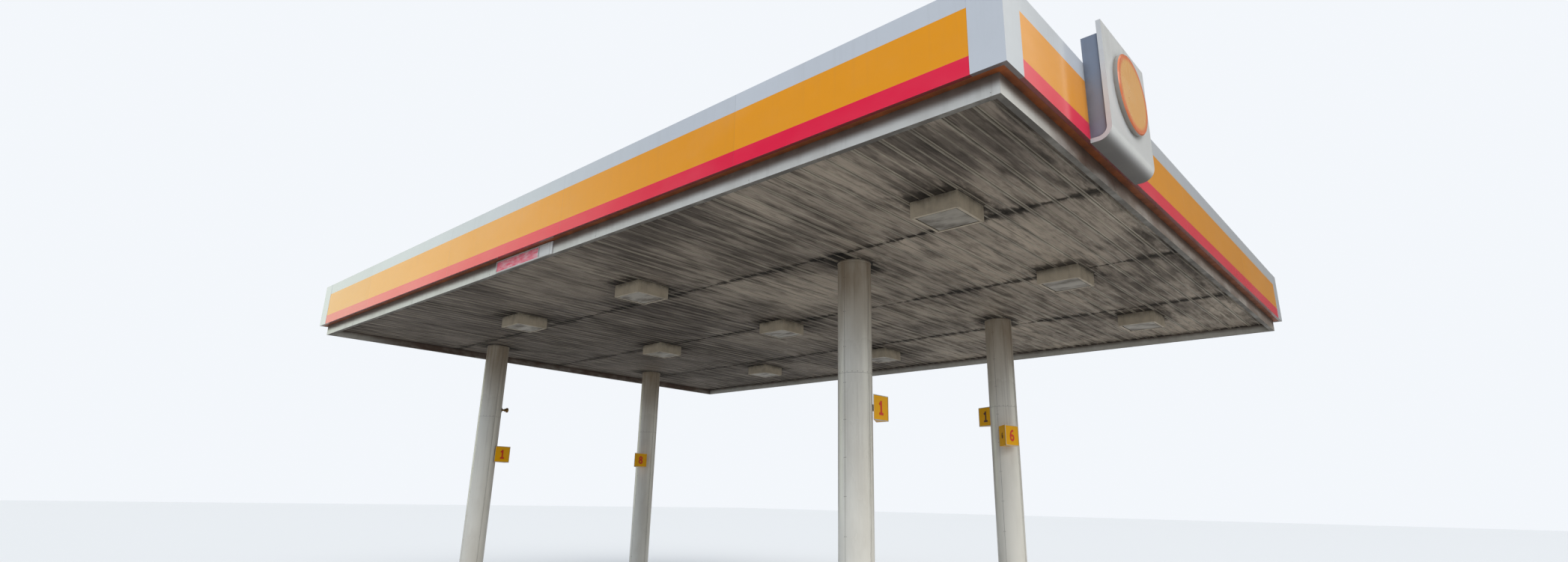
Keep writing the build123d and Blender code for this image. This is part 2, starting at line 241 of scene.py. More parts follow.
# %% [markdown]
# ## Shared effect: blotches
# Dust, fading and soot never lie evenly. The same stretched noise with two limits makes soft
# clouds or hard stains, and because it reads the object's own coordinates it stays on the
# piece from every side.

# %% Group: blotches
blotches, given, result = new_group(
    "blotches",
    [("Stretch", "Vector", (1, 1, 1)), ("Shift", "Vector", (0, 0, 0)),
     ("Low", "Float", 0.4), ("High", "Float", 0.6)],
    [("Mask", "Float")],
)
tree = blotches
cloud = stretched_noise(tree, given["Stretch"], detail=5.0, shift=given["Shift"])
put(tree, ramp(tree, cloud, given["Low"], given["High"]), result["Mask"])
print("group", blotches.name)

# %% [markdown]
# ## Shared effect: edge wear
# Sheet edges and box corners lose their paint first. The Bevel node gives the normal that a
# rounded edge would have, so where it leaves the true normal there is an edge near. Noise
# breaks the line up, because wear is never a drawn outline.

# %% Group: edge wear
edge_wear, given, result = new_group(
    "edge wear", [("Radius", "Float", 0.006), ("Amount", "Float", 0.6)], [("Mask", "Float")]
)
tree = edge_wear
rounded = node(tree, "Bevel", {"Radius": given["Radius"]}, samples=4).outputs["Normal"]
true_normal = node(tree, "NewGeometry").outputs["Normal"]
vectors = {0: rounded, 1: true_normal}
agreement = node(tree, "VectorMath", vectors, operation="DOT_PRODUCT").outputs["Value"]
near_edge = ramp(tree, agreement, 0.99, 0.80)
broken = ramp(tree, stretched_noise(tree, (9, 9, 9), detail=6.0), 0.42, 0.62)
worn = times(tree, times(tree, near_edge, broken), given["Amount"], clamp=True)
put(tree, worn, result["Mask"])
print("group", edge_wear.name)

# %% [markdown]
# ## Shared effect: dirt and shade in crevices
# Exhaust soot and dust settle where air stands still: beside lamps, round the column heads and
# in the gutter's corner. Ambient Occlusion finds those places from the shape itself, and the same
# darkening is painted shade in those corners.

# %% Group: dirt and shade in crevices
crevice_dirt_and_shade, given, result = new_group(
    "dirt and shade in crevices", [("Reach", "Float", 0.25), ("Amount", "Float", 0.6)], [("Mask", "Float")]
)
tree = crevice_dirt_and_shade
open_air = node(tree, "AmbientOcclusion", {"Distance": given["Reach"]}, samples=6).outputs["AO"]
closed_in = ramp(tree, open_air, 0.95, 0.45)
patchy = stretched_noise(tree, (5, 5, 5), detail=5.0)
uneven = ramp(tree, patchy, 0.30, 0.62, 0.35, 1.0)
crevice_darkening = times(tree, times(tree, closed_in, uneven), given["Amount"], clamp=True)
put(tree, crevice_darkening, result["Mask"])
print("group", crevice_dirt_and_shade.name)

# %% [markdown]
# ## Shared effect: rain streaks
# Water carries dirt straight down from an edge and dries on the way. Noise squeezed across and
# drawn out in z makes the runs, and a fade from the height they start at ends them.

# %% Group: rain streaks
rain_streaks, given, result = new_group(
    "rain streaks",
    [("Top", "Float", 5.0), ("Length", "Float", 0.6), ("Fineness", "Float", 9.0),
     ("Amount", "Float", 0.5)],
    [("Mask", "Float")],
)
tree = rain_streaks
fineness = {"X": given["Fineness"], "Y": given["Fineness"], "Z": 0.35}
squeeze = node(tree, "CombineXYZ", fineness).outputs[0]
lines = stretched_noise(tree, squeeze, detail=4.0, roughness=0.7)
runs = ramp(tree, lines, 0.47, 0.70)
below_top = calc(tree, "SUBTRACT", given["Top"], place_of(tree)["Z"])
fallen = calc(tree, "DIVIDE", below_top, given["Length"])
started = ramp(tree, fallen, -0.02, 0.02)
fading = times(tree, ramp(tree, fallen, 1.0, 0.0), started)
streaked = times(tree, times(tree, runs, fading), given["Amount"], clamp=True)
put(tree, streaked, result["Mask"])
print("group", rain_streaks.name)

# %% [markdown]
# ## Shared effect: sheet metal skin
# Thin sheet is never flat: it rolls a little between its fixings, which bends every reflection,
# and sprayed paint has a fine orange peel. Both are far too shallow to model, so they are bumps.

# %% Group: sheet skin
sheet_skin, given, result = new_group(
    "sheet skin", [("Waves", "Float", 0.4), ("Peel", "Float", 0.15)], [("Normal", "Vector")]
)
tree = sheet_skin
rolling = stretched_noise(tree, (1.1, 1.1, 1.6), detail=2.0)
peel = stretched_noise(tree, (240, 240, 240), detail=2.0)
wave_depth, peel_depth = 0.02, 0.0006
inputs = {"Strength": given["Waves"], "Distance": wave_depth, "Height": rolling}
waved = node(tree, "Bump", inputs).outputs["Normal"]
inputs = {"Strength": given["Peel"], "Distance": peel_depth, "Height": peel, "Normal": waved}
put(tree, node(tree, "Bump", inputs).outputs["Normal"], result["Normal"])
print("group", sheet_skin.name)

# %% [markdown]
# ## Shared effect: faded paint
# Sun bleaches paint slowly and unevenly, so the colour drifts over a metre or two. Moving its
# value and saturation by two slow clouds keeps it the same paint, only older in places.

# %% Group: faded paint
faded_paint, given, result = new_group(
    "faded paint",
    [("Colour", "Color", (0.8, 0.8, 0.8, 1)), ("Drift", "Float", 0.1)],
    [("Colour", "Color")],
)
tree = faded_paint
slow = calc(tree, "SUBTRACT", stretched_noise(tree, (0.7, 0.7, 1.5), detail=3.0), 0.5)
small = stretched_noise(tree, (6, 6, 6), detail=5.0, shift=(3.7, 3.7, 3.7))
quick = calc(tree, "SUBTRACT", small, 0.5)
value = scaled(tree, scaled(tree, quick, 0.5, slow), given["Drift"], 1.0)
bleach = scaled(tree, slow, times(tree, given["Drift"], -1.5), 1.0)
inputs = {"Color": given["Colour"], "Value": value, "Saturation": bleach}
put(tree, node(tree, "HueSaturation", inputs).outputs["Color"], result["Colour"])
print("group", faded_paint.name)

# %% [markdown]
# ## One recipe for weathered paint
# Nearly everything here is painted sheet, and weather works on all of it in the same order:
# the paint fades, dust lies on it, rain draws streaks, soot and painted shade darken the corners
# and edges wear through. One function stacks the shared groups in that order, and each material
# gives only its own colours and amounts. Numbers that are the same all over stay on the shader's
# sockets.

# %% Recipe: weathered paint
soot = srgb(44, 41, 39)
road_dust = srgb(128, 118, 104)
bare_steel = srgb(118, 112, 104)
coat_roughness = 0.12
dirt_roughness = 0.85


def weathered(name, colour, gloss=0.35, coat=0.0, shine=0.5, metallic=0.0, drift=0.10,
              waves=0.4, peel=0.15, dust=(road_dust, 0.25, (2, 2, 2)), streaks=None,
              corners=(soot, 0.6, 0.25), wear=(bare_steel, 0.5, 0.005), extra=None):
    """A painted piece: fading, its extra layer, dust, streaks, corner dirt with painted shade and worn
    edges.
    """
    material = bpy.data.materials.new(name)
    material.use_nodes = True
    tree = material.node_tree
    shader = tree.nodes["Principled BSDF"]
    settings = {"Metallic": metallic, "Coat Weight": coat, "Specular IOR Level": shine,
                "Coat Roughness": coat_roughness}
    for socket, value in settings.items():
        shader.inputs[socket].default_value = value
    surface = use(tree, faded_paint, Colour=colour, Drift=drift)["Colour"]
    grime = 0.0
    if extra:
        surface, grime = extra(tree, surface)
    dust_colour, dust_amount, dust_stretch = dust
    cloud = use(tree, blotches, Stretch=dust_stretch, Shift=(5.1, 2.3, 8.7), Low=0.38, High=0.72)
    layer = times(tree, cloud["Mask"], dust_amount)
    surface, grime = mix(tree, layer, surface, dust_colour), calc(tree, "MAXIMUM", grime, layer)
    if streaks:
        streak_colour, amount, top, length, fineness = streaks
        runs = use(tree, rain_streaks, Top=top, Length=length, Fineness=fineness, Amount=amount)
        layer = runs["Mask"]
        surface, grime = mix(tree, layer, surface, streak_colour), calc(tree, "MAXIMUM", grime, layer)
    # Soot and painted shade in the corners, from ambient occlusion
    corner_colour, amount, reach = corners
    layer = use(tree, crevice_dirt_and_shade, Reach=reach, Amount=amount)["Mask"]
    surface, grime = mix(tree, layer, surface, corner_colour), calc(tree, "MAXIMUM", grime, layer)
    wear_colour, amount, radius = wear
    layer = use(tree, edge_wear, Radius=radius, Amount=amount)["Mask"]
    surface = mix(tree, layer, surface, wear_colour)
    put(tree, surface, shader.inputs["Base Color"])
    put(tree, ramp(tree, grime, 0.0, 1.0, gloss, dirt_roughness), shader.inputs["Roughness"])
    put(tree, use(tree, sheet_skin, Waves=waves, Peel=peel)["Normal"], shader.inputs["Normal"])
    return material


print("recipe ready")

# %% [markdown]
# ## The ceiling's own dirt, and painted shade round lamps and columns
# Exhaust soot has gathered on the pans for years. It lies in long smears along each pan, and it
# is heaviest beside the grooves, along some pan joints, round lamps and columns, at the deck's
# edge and on both sides of the seams where two rows meet. Round lamps and columns the dark is
# also painted shade. Every pan took it a little differently. The pan and row that a point is on
# come from its coordinates: the whole part gives each pan its own luck, and the remainder says
# how near a groove it is.

# %% Group: grime and shade of the pans
pan_grime_and_shade, given, result = new_group(
    "pan grime and shade",
    [("Right", "Float", deck_right), ("Front", "Float", deck_front), ("Pan", "Float", pan_pitch),
     ("Row", "Float", row_pitch), ("Ceiling", "Float", ceiling)],
    [("Soot and shade", "Float"), ("Film", "Float"), ("Groove", "Float")],
)
tree = pan_grime_and_shade
place = place_of(tree)
pans = calc(tree, "DIVIDE", calc(tree, "SUBTRACT", given["Right"], place["X"]), given["Pan"])
rows = calc(tree, "DIVIDE", calc(tree, "SUBTRACT", place["Y"], given["Front"]), given["Row"])
pan_number, row_number = calc(tree, "FLOOR", pans), calc(tree, "FLOOR", rows)
pan_key = node(tree, "CombineXYZ", {"X": pan_number, "Y": row_number}).outputs[0]
luck = node(tree, "TexWhiteNoise", {"Vector": pan_key}, noise_dimensions="3D").outputs["Value"]
lucky = {"X": times(tree, luck, 3.0), "Y": row_number}
shift = node(tree, "CombineXYZ", lucky).outputs[0]

print("pan grime and shade: each pan and row has its own key")

# %% Pan grime: noises and distances
# Smears drawn out along the pan, fine scratches of soot, mottling, slow clouds over many pans,
# and a ragged noise that says how far soot reaches from where it hangs
smear = stretched_noise(tree, (8.0, 0.95, 1.0), detail=5.0, roughness=0.60, shift=shift)
scratch = stretched_noise(tree, (46, 1.5, 1.0), detail=4.0, roughness=0.62, shift=shift)
mottle = stretched_noise(tree, (9.0, 2.6, 1.0), detail=7.0, roughness=0.66)
cloud = stretched_noise(tree, (0.42, 0.38, 1.0), detail=3.0, shift=(4.3, 1.1, 0.0))
ragged = stretched_noise(tree, (9.5, 2.6, 1.0), detail=7.0, roughness=0.72, shift=(2.2, 7.1, 0.0))

# How far a point is from the nearest groove, row seam and outer edge of the deck
to_groove = times(tree, calc(tree, "PINGPONG", pans, 0.5), given["Pan"])
to_seam = times(tree, calc(tree, "PINGPONG", rows, 0.5), given["Row"])
from_front = times(tree, rows, given["Row"])
far_rows = calc(tree, "SUBTRACT", float(row_count), rows)
from_back = times(tree, far_rows, given["Row"])
from_right = times(tree, pans, given["Pan"])
to_edge = calc(tree, "MINIMUM", calc(tree, "MINIMUM", from_front, from_back), from_right)

# How far a point is from a lamp's side or a column's skin
beside_y = calc(tree, "PINGPONG", place["Y"], lamp_row_pitch / 2)
far_away = 100.0
lamp_gap = far_away
for lamp_x in lamp_xs:
    beside_x = calc(tree, "ABSOLUTE", calc(tree, "SUBTRACT", place["X"], lamp_x))
    beside = calc(tree, "MAXIMUM", beside_x, times(tree, beside_y, 0.75))
    lamp_gap = calc(tree, "MINIMUM", lamp_gap, beside)
lamp_gap = calc(tree, "SUBTRACT", lamp_gap, lamp_size / 2)
column_gap = far_away
column_reach = columns["back_right"].y
for column_x in (columns["front_right"].x, columns["front_left"].x):
    aside = calc(tree, "SUBTRACT", place["X"], column_x)
    along = calc(tree, "SUBTRACT", calc(tree, "ABSOLUTE", place["Y"]), column_reach)
    squeezed = {"X": aside, "Y": times(tree, along, 0.6)}
    offset = node(tree, "CombineXYZ", squeezed).outputs[0]
    gap = node(tree, "VectorMath", {0: offset}, operation="LENGTH").outputs["Value"]
    column_gap = calc(tree, "MINIMUM", column_gap, calc(tree, "SUBTRACT", gap, cover_radius))
# Soot and painted shade beside lamps and columns, out to a ragged reach
fixture_gap = calc(tree, "MAXIMUM", calc(tree, "MINIMUM", lamp_gap, column_gap), 0.0)
fixture_reach = calc(tree, "MAXIMUM", scaled(tree, ragged, 1.0, -0.30), 0.04)
fixture_soot_and_shade = ramp(tree, calc(tree, "DIVIDE", fixture_gap, fixture_reach), 1.0, 0.0)

print("pan grime and shade: distances from", len(lamp_xs), "rows of lamps and two rows of columns")

# %% Pan grime: layers of soot
# The soot that lies on the pans, and the soot beside the grooves
smear_soot = ramp(tree, scaled(tree, cloud, 0.75, smear), 0.78, 1.02)
mottle_soot = ramp(tree, scaled(tree, smear, 0.45, mottle), 0.71, 0.87)
scratch_soot = ramp(tree, scratch, 0.48, 0.66)
near_groove = ramp(tree, to_groove, 0.075, 0.022)
beside_groove = times(tree, near_groove, ramp(tree, smear, 0.40, 0.62))

# Black runs along some grooves and beads, as each line's own luck has it
lines = times(tree, pans, 2.0)
line_key = node(tree, "CombineXYZ", {"X": calc(tree, "ROUND", lines), "Y": 7.0}).outputs[0]
white_noise = node(tree, "TexWhiteNoise", {"Vector": line_key}, noise_dimensions="3D")
line_luck = white_noise.outputs["Value"]
run_key = {"X": times(tree, line_luck, 90.0), "Y": times(tree, place["Y"], 1.1)}
run_place = node(tree, "CombineXYZ", run_key).outputs[0]
inputs = {"Vector": run_place, "Scale": 1.0, "Detail": 5.0, "Roughness": 0.62}
run = node(tree, "TexNoise", inputs).outputs["Fac"]
to_line = times(tree, calc(tree, "PINGPONG", lines, 0.5), given["Pan"])
line_width = calc(tree, "MAXIMUM", scaled(tree, ragged, 0.10, -0.018), 0.014)
on_line = ramp(tree, calc(tree, "DIVIDE", to_line, line_width), 1.0, 0.35)
run = scaled(tree, ramp(tree, line_luck, 0.80, 0.86), 0.09, run)
line_soot = times(tree, on_line, ramp(tree, run, 0.52, 0.62))

# Ragged soot on both sides of the row seams and along the deck's edge
patchy = stretched_noise(tree, (1.3, 0.5, 1.0), detail=2.0, shift=(8.1, 3.3, 0.0))
patches = ramp(tree, patchy, 0.38, 0.64, 0.15, 1.0)
seam_spread = times(tree, scaled(tree, ragged, 1.15, -0.36), patches)
seam_reach = calc(tree, "MAXIMUM", seam_spread, 0.010)
beside_seam = ramp(tree, calc(tree, "DIVIDE", to_seam, seam_reach), 1.0, 0.05)
edge_reach = calc(tree, "MAXIMUM", scaled(tree, ragged, 1.3, -0.38), 0.05)
beside_edge = ramp(tree, calc(tree, "DIVIDE", to_edge, edge_reach), 1.0, 0.2)

print("pan grime and shade: soot reaches out from seams and edges")

# %% Pan grime: soot, painted shade and film together
# Each layer covers its share of what the layers before it left clear
soot_and_shade_layers = (
    (smear_soot, 0.58), (mottle_soot, 0.28), (scratch_soot, 0.34), (beside_groove, 0.42),
    (beside_seam, 0.92), (beside_edge, 0.62), (fixture_soot_and_shade, 0.85), (line_soot, 0.92),
)
clear = 1.0
for layer, amount in soot_and_shade_layers:
    clear = times(tree, clear, scaled(tree, layer, -amount, 1.0))
soot_and_shade_sum = calc(tree, "SUBTRACT", 1.0, clear)

# Inside a groove the paint is sheltered and stays pale, and the pale also paints the light on the
# groove's walls. The film is thickest on the left.
above = calc(tree, "SUBTRACT", place["Z"], given["Ceiling"])
inside = ramp(tree, above, 0.0015, 0.006)
put(tree, inside, result["Groove"])
sheltered = scaled(tree, inside, -0.75, 1.0)
put(tree, times(tree, soot_and_shade_sum, sheltered, clamp=True), result["Soot and shade"])
clouded = scaled(tree, luck, 0.28, scaled(tree, cloud, 1.9, -0.65))
film = scaled(tree, ramp(tree, place["X"], 2.5, -3.5), 0.75, clouded, clamp=True)
put(tree, film, result["Film"])
print("group", pan_grime_and_shade.name)

# %% [markdown]
# ## Panel joints
# The striped cladding comes in sheets about 3 m long, butted edge to edge. A joint is a
# hairline that only shows as a dark line and as a small change of shade from one sheet to the
# next, because no two are hung at quite the same angle. It is drawn from the coordinate that
# runs along the side.

# %% Group: panel joints
panel_joints, given, result = new_group(
    "panel joints",
    [("Along", "Float", 0.0), ("Start", "Float", 0.0), ("Pitch", "Float", 3.05),
     ("Width", "Float", 0.003)],
    [("Line", "Float"), ("Shade", "Float")],
)
tree = panel_joints
from_start = calc(tree, "SUBTRACT", given["Along"], given["Start"])
sheets = calc(tree, "DIVIDE", from_start, given["Pitch"])
to_joint = times(tree, calc(tree, "PINGPONG", sheets, 0.5), given["Pitch"])
put(tree, ramp(tree, to_joint, given["Width"], 0.0), result["Line"])
sheet_key = node(tree, "CombineXYZ", {"X": calc(tree, "FLOOR", sheets)}).outputs[0]
white_noise = node(tree, "TexWhiteNoise", {"Vector": sheet_key}, noise_dimensions="3D")
put(tree, white_noise.outputs["Value"], result["Shade"])
print("group", panel_joints.name)

# %% [markdown]
# ## Finishes for the striped fascia
# The bands are gloss paint on sheet, still bright behind a thin film of dust, with brown painted
# shade on the folds that look down. The sides that run along x and those that run along y need their
# joints on different coordinates, so the function makes one material for each direction.

# %% Fascia materials
joint_start = {"X": 4.20, "Y": 2.55}
joint_pitch = 3.05


def jointed(axis):
    """Joints along one axis and brown painted shade on the folds below, for the recipe's extra layer.
    """
    def add_joints(tree, surface):
        along = place_of(tree)[axis]
        joints = use(tree, panel_joints, Along=along, Start=joint_start[axis], Pitch=joint_pitch)
        value = ramp(tree, joints["Shade"], 0.0, 1.0, 0.96, 1.03)
        shaded = node(tree, "HueSaturation", {"Color": surface, "Value": value}).outputs["Color"]
        line = times(tree, joints["Line"], 0.38)
        lined = mix(tree, line, shaded, soot)
        # Painted shade: the folds that look down turn brown
        below = ramp(tree, facing(tree, "Z"), -0.5, -0.9, 0.0, 0.8)
        return mix(tree, below, lined, srgb(74, 38, 26)), line
    return add_joints


fascia_paints = {
    "fascia_red": srgb(238, 26, 68),
    "fascia_yellow": srgb(242, 157, 4),
    "fascia_white": srgb(203, 207, 213),
}
fascia_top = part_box("fascia_white_front")[1].z
fascia_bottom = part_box("fascia_red_front")[0].z
fascia_finish = {}
for slot, colour in fascia_paints.items():
    for axis in ("X", "Y"):
        fascia_finish[slot, axis] = weathered(
            slot + "_along_" + axis.lower(), colour, gloss=0.20, coat=0.50, shine=0.30,
            drift=0.07, waves=0.25, peel=0.05, dust=(srgb(190, 182, 168), 0.02, (1.5, 1.5, 3)),
            streaks=(srgb(120, 112, 100), 0.04, fascia_top, 0.9, 14.0),
            corners=(srgb(70, 62, 56), 0.35, 0.10), wear=(srgb(168, 160, 150), 0.25, 0.003),
            extra=jointed(axis),
        )
print("fascia finishes:", len(fascia_finish))

# %% [markdown]
# ## Finish for the ceiling deck
# The pans were white enamel. Under the soot the clean paint hardly shows any more, so the base
# is a dirty warm grey, and a brown film lies over it unevenly. The soot and painted shade of the
# ceiling come last: grey where they are thin, nearly black where they are thickest.

# %% Deck material
def add_pan_grime_and_shade(tree, surface):
    """The brown film, and the soot and painted shade of the ceiling, for the recipe's extra layer."""
    dirt = use(tree, pan_grime_and_shade)
    filmed = mix(tree, times(tree, dirt["Film"], 0.85), surface, srgb(82, 73, 72))
    darkest = ramp(tree, dirt["Soot and shade"], 0.58, 0.86)
    soot_and_shade_colour = mix(tree, darkest, srgb(44, 40, 38), srgb(14, 12, 11))
    darkened_deck = mix(tree, dirt["Soot and shade"], filmed, soot_and_shade_colour)
    # Pale groove walls: clean paint, and painted light on the walls
    pale = times(tree, dirt["Groove"], 0.35)
    return mix(tree, pale, darkened_deck, srgb(214, 208, 194)), dirt["Soot and shade"]


# The deck's corners layer reaches far: soot and painted shade beside lamps and columns
deck_finish = weathered(
    "deck_paint_sooted_and_shaded", srgb(206, 192, 176), gloss=0.55, shine=0.18, waves=0.5, peel=0.1,
    dust=(srgb(120, 110, 98), 0.20, (3, 0.8, 1)), corners=(srgb(30, 27, 25), 0.55, 0.40),
    wear=(srgb(196, 190, 178), 0.45, 0.005), extra=add_pan_grime_and_shade,
)
print("deck finish:", deck_finish.name)

# %% [markdown]
# ## Finish for gutter, recess and pod
# The gutter's outer face is still pale, with brown painted shade under the recess, dirty runs,
# and brown painted shade of the pod on the right side; its underside is as grey as the deck with
# soot and painted shade. The recess strip is an orange paint browned by dust. The sign pod hangs
# free and stays cleanest, and the face that curls under is grey with painted shade.

# %% Layers for the gutter
def add_underside(tree, surface):
    """Darkening on faces that look down, soot and painted shade, for the recipe's extra layer."""
    below = ramp(tree, facing(tree, "Z"), -0.5, -0.9)
    patch = use(tree, blotches, Stretch=(3, 3, 3), Low=0.25, High=0.62)["Mask"]
    layer = times(tree, below, scaled(tree, patch, 0.3, 0.62), clamp=True)
    return mix(tree, layer, surface, srgb(84, 80, 76)), layer


def add_gutter_shade_and_soot(tree, surface):
    """Brown painted shade along the gutter's upper edge and of the pod, and soot below, for the extra
    layer.
    """
    place = place_of(tree)
    wavering = scaled(tree, stretched_noise(tree, (1.6, 1.6, 1.6), detail=3.0), 0.03, place["Z"])
    # Painted shade: brown under the recess, towards the gutter's top edge
    recess_shade = ramp(tree, wavering, gutter_bottom + 0.062, gutter_bottom + 0.150)
    surface = mix(tree, times(tree, recess_shade, 0.88), surface, srgb(88, 64, 50))
    # Painted shade of the pod: brown on the right side past the corner
    right_side = ramp(tree, facing(tree, "X"), 0.5, 0.9)
    past_corner = ramp(tree, place["Y"], trim_front + 0.1, trim_front + 1.7)
    cloud = use(tree, blotches, Stretch=(2.2, 2.2, 5), Low=0.30, High=0.62)["Mask"]
    browned = times(tree, times(tree, right_side, past_corner), scaled(tree, cloud, 0.38, 0.58))
    surface = mix(tree, browned, surface, srgb(84, 62, 50))
    surface, underside_soot_and_shade = add_underside(tree, surface)
    return surface, calc(tree, "MAXIMUM", underside_soot_and_shade, times(tree, recess_shade, 0.6))


print("gutter stains begin at", round(gutter_bottom + 0.062, 3))

# %% Gutter, recess and pod materials
trim_finish = weathered(
    "trim_paint_weathered", srgb(212, 211, 205), gloss=0.30, coat=0.1, drift=0.08, waves=0.3,
    dust=(srgb(150, 142, 130), 0.20, (2.5, 2.5, 4)),
    streaks=(srgb(92, 80, 70), 0.28, fascia_bottom + 0.02, 0.25, 10.0),
    corners=(srgb(64, 48, 38), 0.55, 0.14), wear=(srgb(120, 100, 84), 0.4, 0.004),
    extra=add_gutter_shade_and_soot,
)
recess_finish = weathered(
    "recess_paint_dusty", srgb(176, 92, 40), gloss=0.4, drift=0.18,
    dust=(srgb(96, 66, 48), 0.45, (3, 3, 3)), corners=(srgb(58, 38, 28), 0.75, 0.15),
)


def add_curl_painted_shade(tree, surface):
    """Grey painted shade on a face that turns under, for the recipe's extra layer."""
    layer = times(tree, ramp(tree, facing(tree, "Z", "Normal"), -0.45, -0.97), 0.88)
    return mix(tree, layer, surface, srgb(88, 84, 82)), layer


pod_finish = weathered(
    "pod_paint_clean", srgb(210, 211, 211), gloss=0.30, coat=0.2, drift=0.05, waves=0.15, peel=0.05,
    dust=(srgb(150, 146, 140), 0.16, (2, 2, 3)), streaks=(srgb(120, 114, 106), 0.18, 6.24, 1.1, 9.0),
    corners=(srgb(70, 68, 66), 0.5, 0.08), wear=(srgb(140, 136, 130), 0.3, 0.004), extra=add_curl_painted_shade,
)
# The housing's cheek: blue-grey paint, darkened further as painted shade
shaded_cheek_finish = weathered(
    "pod_housing_shaded_grey", srgb(128, 138, 156), gloss=0.30, coat=0.1, drift=0.06, waves=0.2, peel=0.05,
    dust=(srgb(120, 116, 112), 0.20, (2, 2, 3)), streaks=(srgb(96, 92, 90), 0.25, 6.2, 1.1, 9.0),
    corners=(srgb(60, 58, 58), 0.6, 0.10), wear=(srgb(110, 108, 106), 0.3, 0.004),
)
print("trim, recess and pod finishes ready")

# %% [markdown]
# ## Finish for the column covers
# Each cover is off-white, brownest near the ceiling where exhaust hangs and splashed at its
# foot. Dirt runs down it in long thin lines. A height mask tints both ends before the shared
# streaks go on.

# %% Column cover material
def add_smoke_and_splash(tree, surface):
    """Brown smoke under the ceiling and splash at the foot, for the recipe's extra layer."""
    level = place_of(tree)["Z"]
    patch = use(tree, blotches, Stretch=(4, 4, 0.9), Low=0.30, High=0.70)["Mask"]
    smoke = times(tree, ramp(tree, level, 3.5, 4.9), scaled(tree, patch, 0.30, 0.62))
    splash = times(tree, ramp(tree, level, 0.7, 0.05), scaled(tree, patch, 0.50, 0.30))
    surface = mix(tree, smoke, surface, srgb(142, 124, 102))
    surface = mix(tree, splash, surface, srgb(112, 98, 82))
    return surface, calc(tree, "MAXIMUM", smoke, splash)


cover_finish = weathered(
    "cover_paint_streaked", srgb(232, 228, 217), gloss=0.22, coat=0.35, drift=0.06, waves=0.5, peel=0.1,
    dust=(srgb(166, 154, 136), 0.24, (3, 3, 0.8)), streaks=(srgb(112, 94, 76), 0.38, 5.05, 4.2, 16.0),
    corners=(srgb(60, 52, 44), 0.45, 0.08), wear=(srgb(130, 118, 104), 0.4, 0.004),
    extra=add_smoke_and_splash,
)
print("column cover finish ready")

# %% [markdown]
# ## Finishes for steel above the deck
# Nobody cleans or repaints the steel on the roof. Grey primer shows rust where water stands,
# on the flanges and at every edge, so rust blotches come before the shared layers.

# %% Steel materials
def add_rust(amount):
    """Blooms of rust, for the recipe's extra layer."""
    def rust_layer(tree, surface):
        cloud = use(tree, blotches, Stretch=(3.2, 3.2, 3.2), Shift=(1.7, 9.2, 4.4), Low=0.56, High=0.70)
        speck = use(tree, blotches, Stretch=(26, 26, 26), Low=0.60, High=0.72)["Mask"]
        rusted = calc(tree, "MAXIMUM", cloud["Mask"], times(tree, speck, 0.6))
        layer = times(tree, rusted, amount)
        tone = mix(tree, speck, srgb(118, 66, 38), srgb(74, 42, 28))
        return mix(tree, layer, surface, tone), layer
    return rust_layer


primer_finish = weathered(
    "primed_steel_rusting", srgb(132, 128, 122), gloss=0.55, drift=0.15, waves=0.0, peel=0.4,
    dust=(srgb(140, 130, 114), 0.35, (2, 2, 2)), corners=(srgb(60, 50, 42), 0.6, 0.2),
    wear=(srgb(112, 62, 36), 0.8, 0.006), extra=add_rust(0.75),
)
galvanised_finish = weathered(
    "galvanised_steel_dull", srgb(150, 153, 154), gloss=0.42, metallic=0.75, drift=0.25,
    waves=0.0, peel=0.3, dust=(srgb(130, 122, 108), 0.40, (5, 5, 5)),
    corners=(srgb(66, 58, 50), 0.6, 0.1), wear=(srgb(190, 190, 186), 0.5, 0.003),
    extra=add_rust(0.30),
)
print("steel finishes ready")

# %% [markdown]
# ## Finishes for lamps, flags, disc and plate
# The lamps are cream boxes gone tan, with frosted lenses that hold a dirty smear. The flags and
# the disc are moulded plastic: yellow, a little faded, and on the disc warmer at its rim. The
# clearance plate is bare here: a pale frame round a sun-bleached red face.

# %% Lamp, flag, disc and plate materials
# Strong corner darkening on the lamps: soot and painted shade along each lamp's top against the ceiling
lamp_finish = weathered(
    "lamp_paint_dusty", srgb(200, 188, 168), gloss=0.40, waves=0.1,
    dust=(srgb(130, 118, 102), 0.35, (6, 6, 6)), streaks=(srgb(96, 84, 70), 0.25, ceiling, 0.25, 18.0),
    corners=(srgb(40, 34, 30), 0.85, 0.12), wear=(srgb(150, 128, 104), 0.6, 0.004),
)
lens_finish = weathered(
    "lamp_lens_frosted", srgb(168, 162, 152), gloss=0.38, coat=0.1, waves=0.2,
    dust=(srgb(92, 86, 80), 0.80, (2.6, 6.0, 3.0)), corners=(srgb(84, 76, 66), 0.8, 0.06),
    wear=(srgb(200, 198, 192), 0.3, 0.003),
)
flag_finish = weathered(
    "flag_face_plastic", srgb(255, 184, 0), gloss=0.24, shine=0.1, drift=0.06, waves=0.1,
    dust=(srgb(206, 170, 110), 0.03, (5, 5, 5)), streaks=(srgb(150, 104, 40), 0.12, 3.6, 1.2, 30.0),
    corners=(srgb(130, 78, 20), 0.5, 0.03), wear=(srgb(228, 206, 160), 0.5, 0.003),
)
plate_finish = weathered(
    "plate_paint_pale", srgb(214, 214, 212), drift=0.05, waves=0.1,
    dust=(srgb(150, 144, 136), 0.15, (5, 5, 5)), corners=(srgb(70, 60, 52), 0.6, 0.04),
)


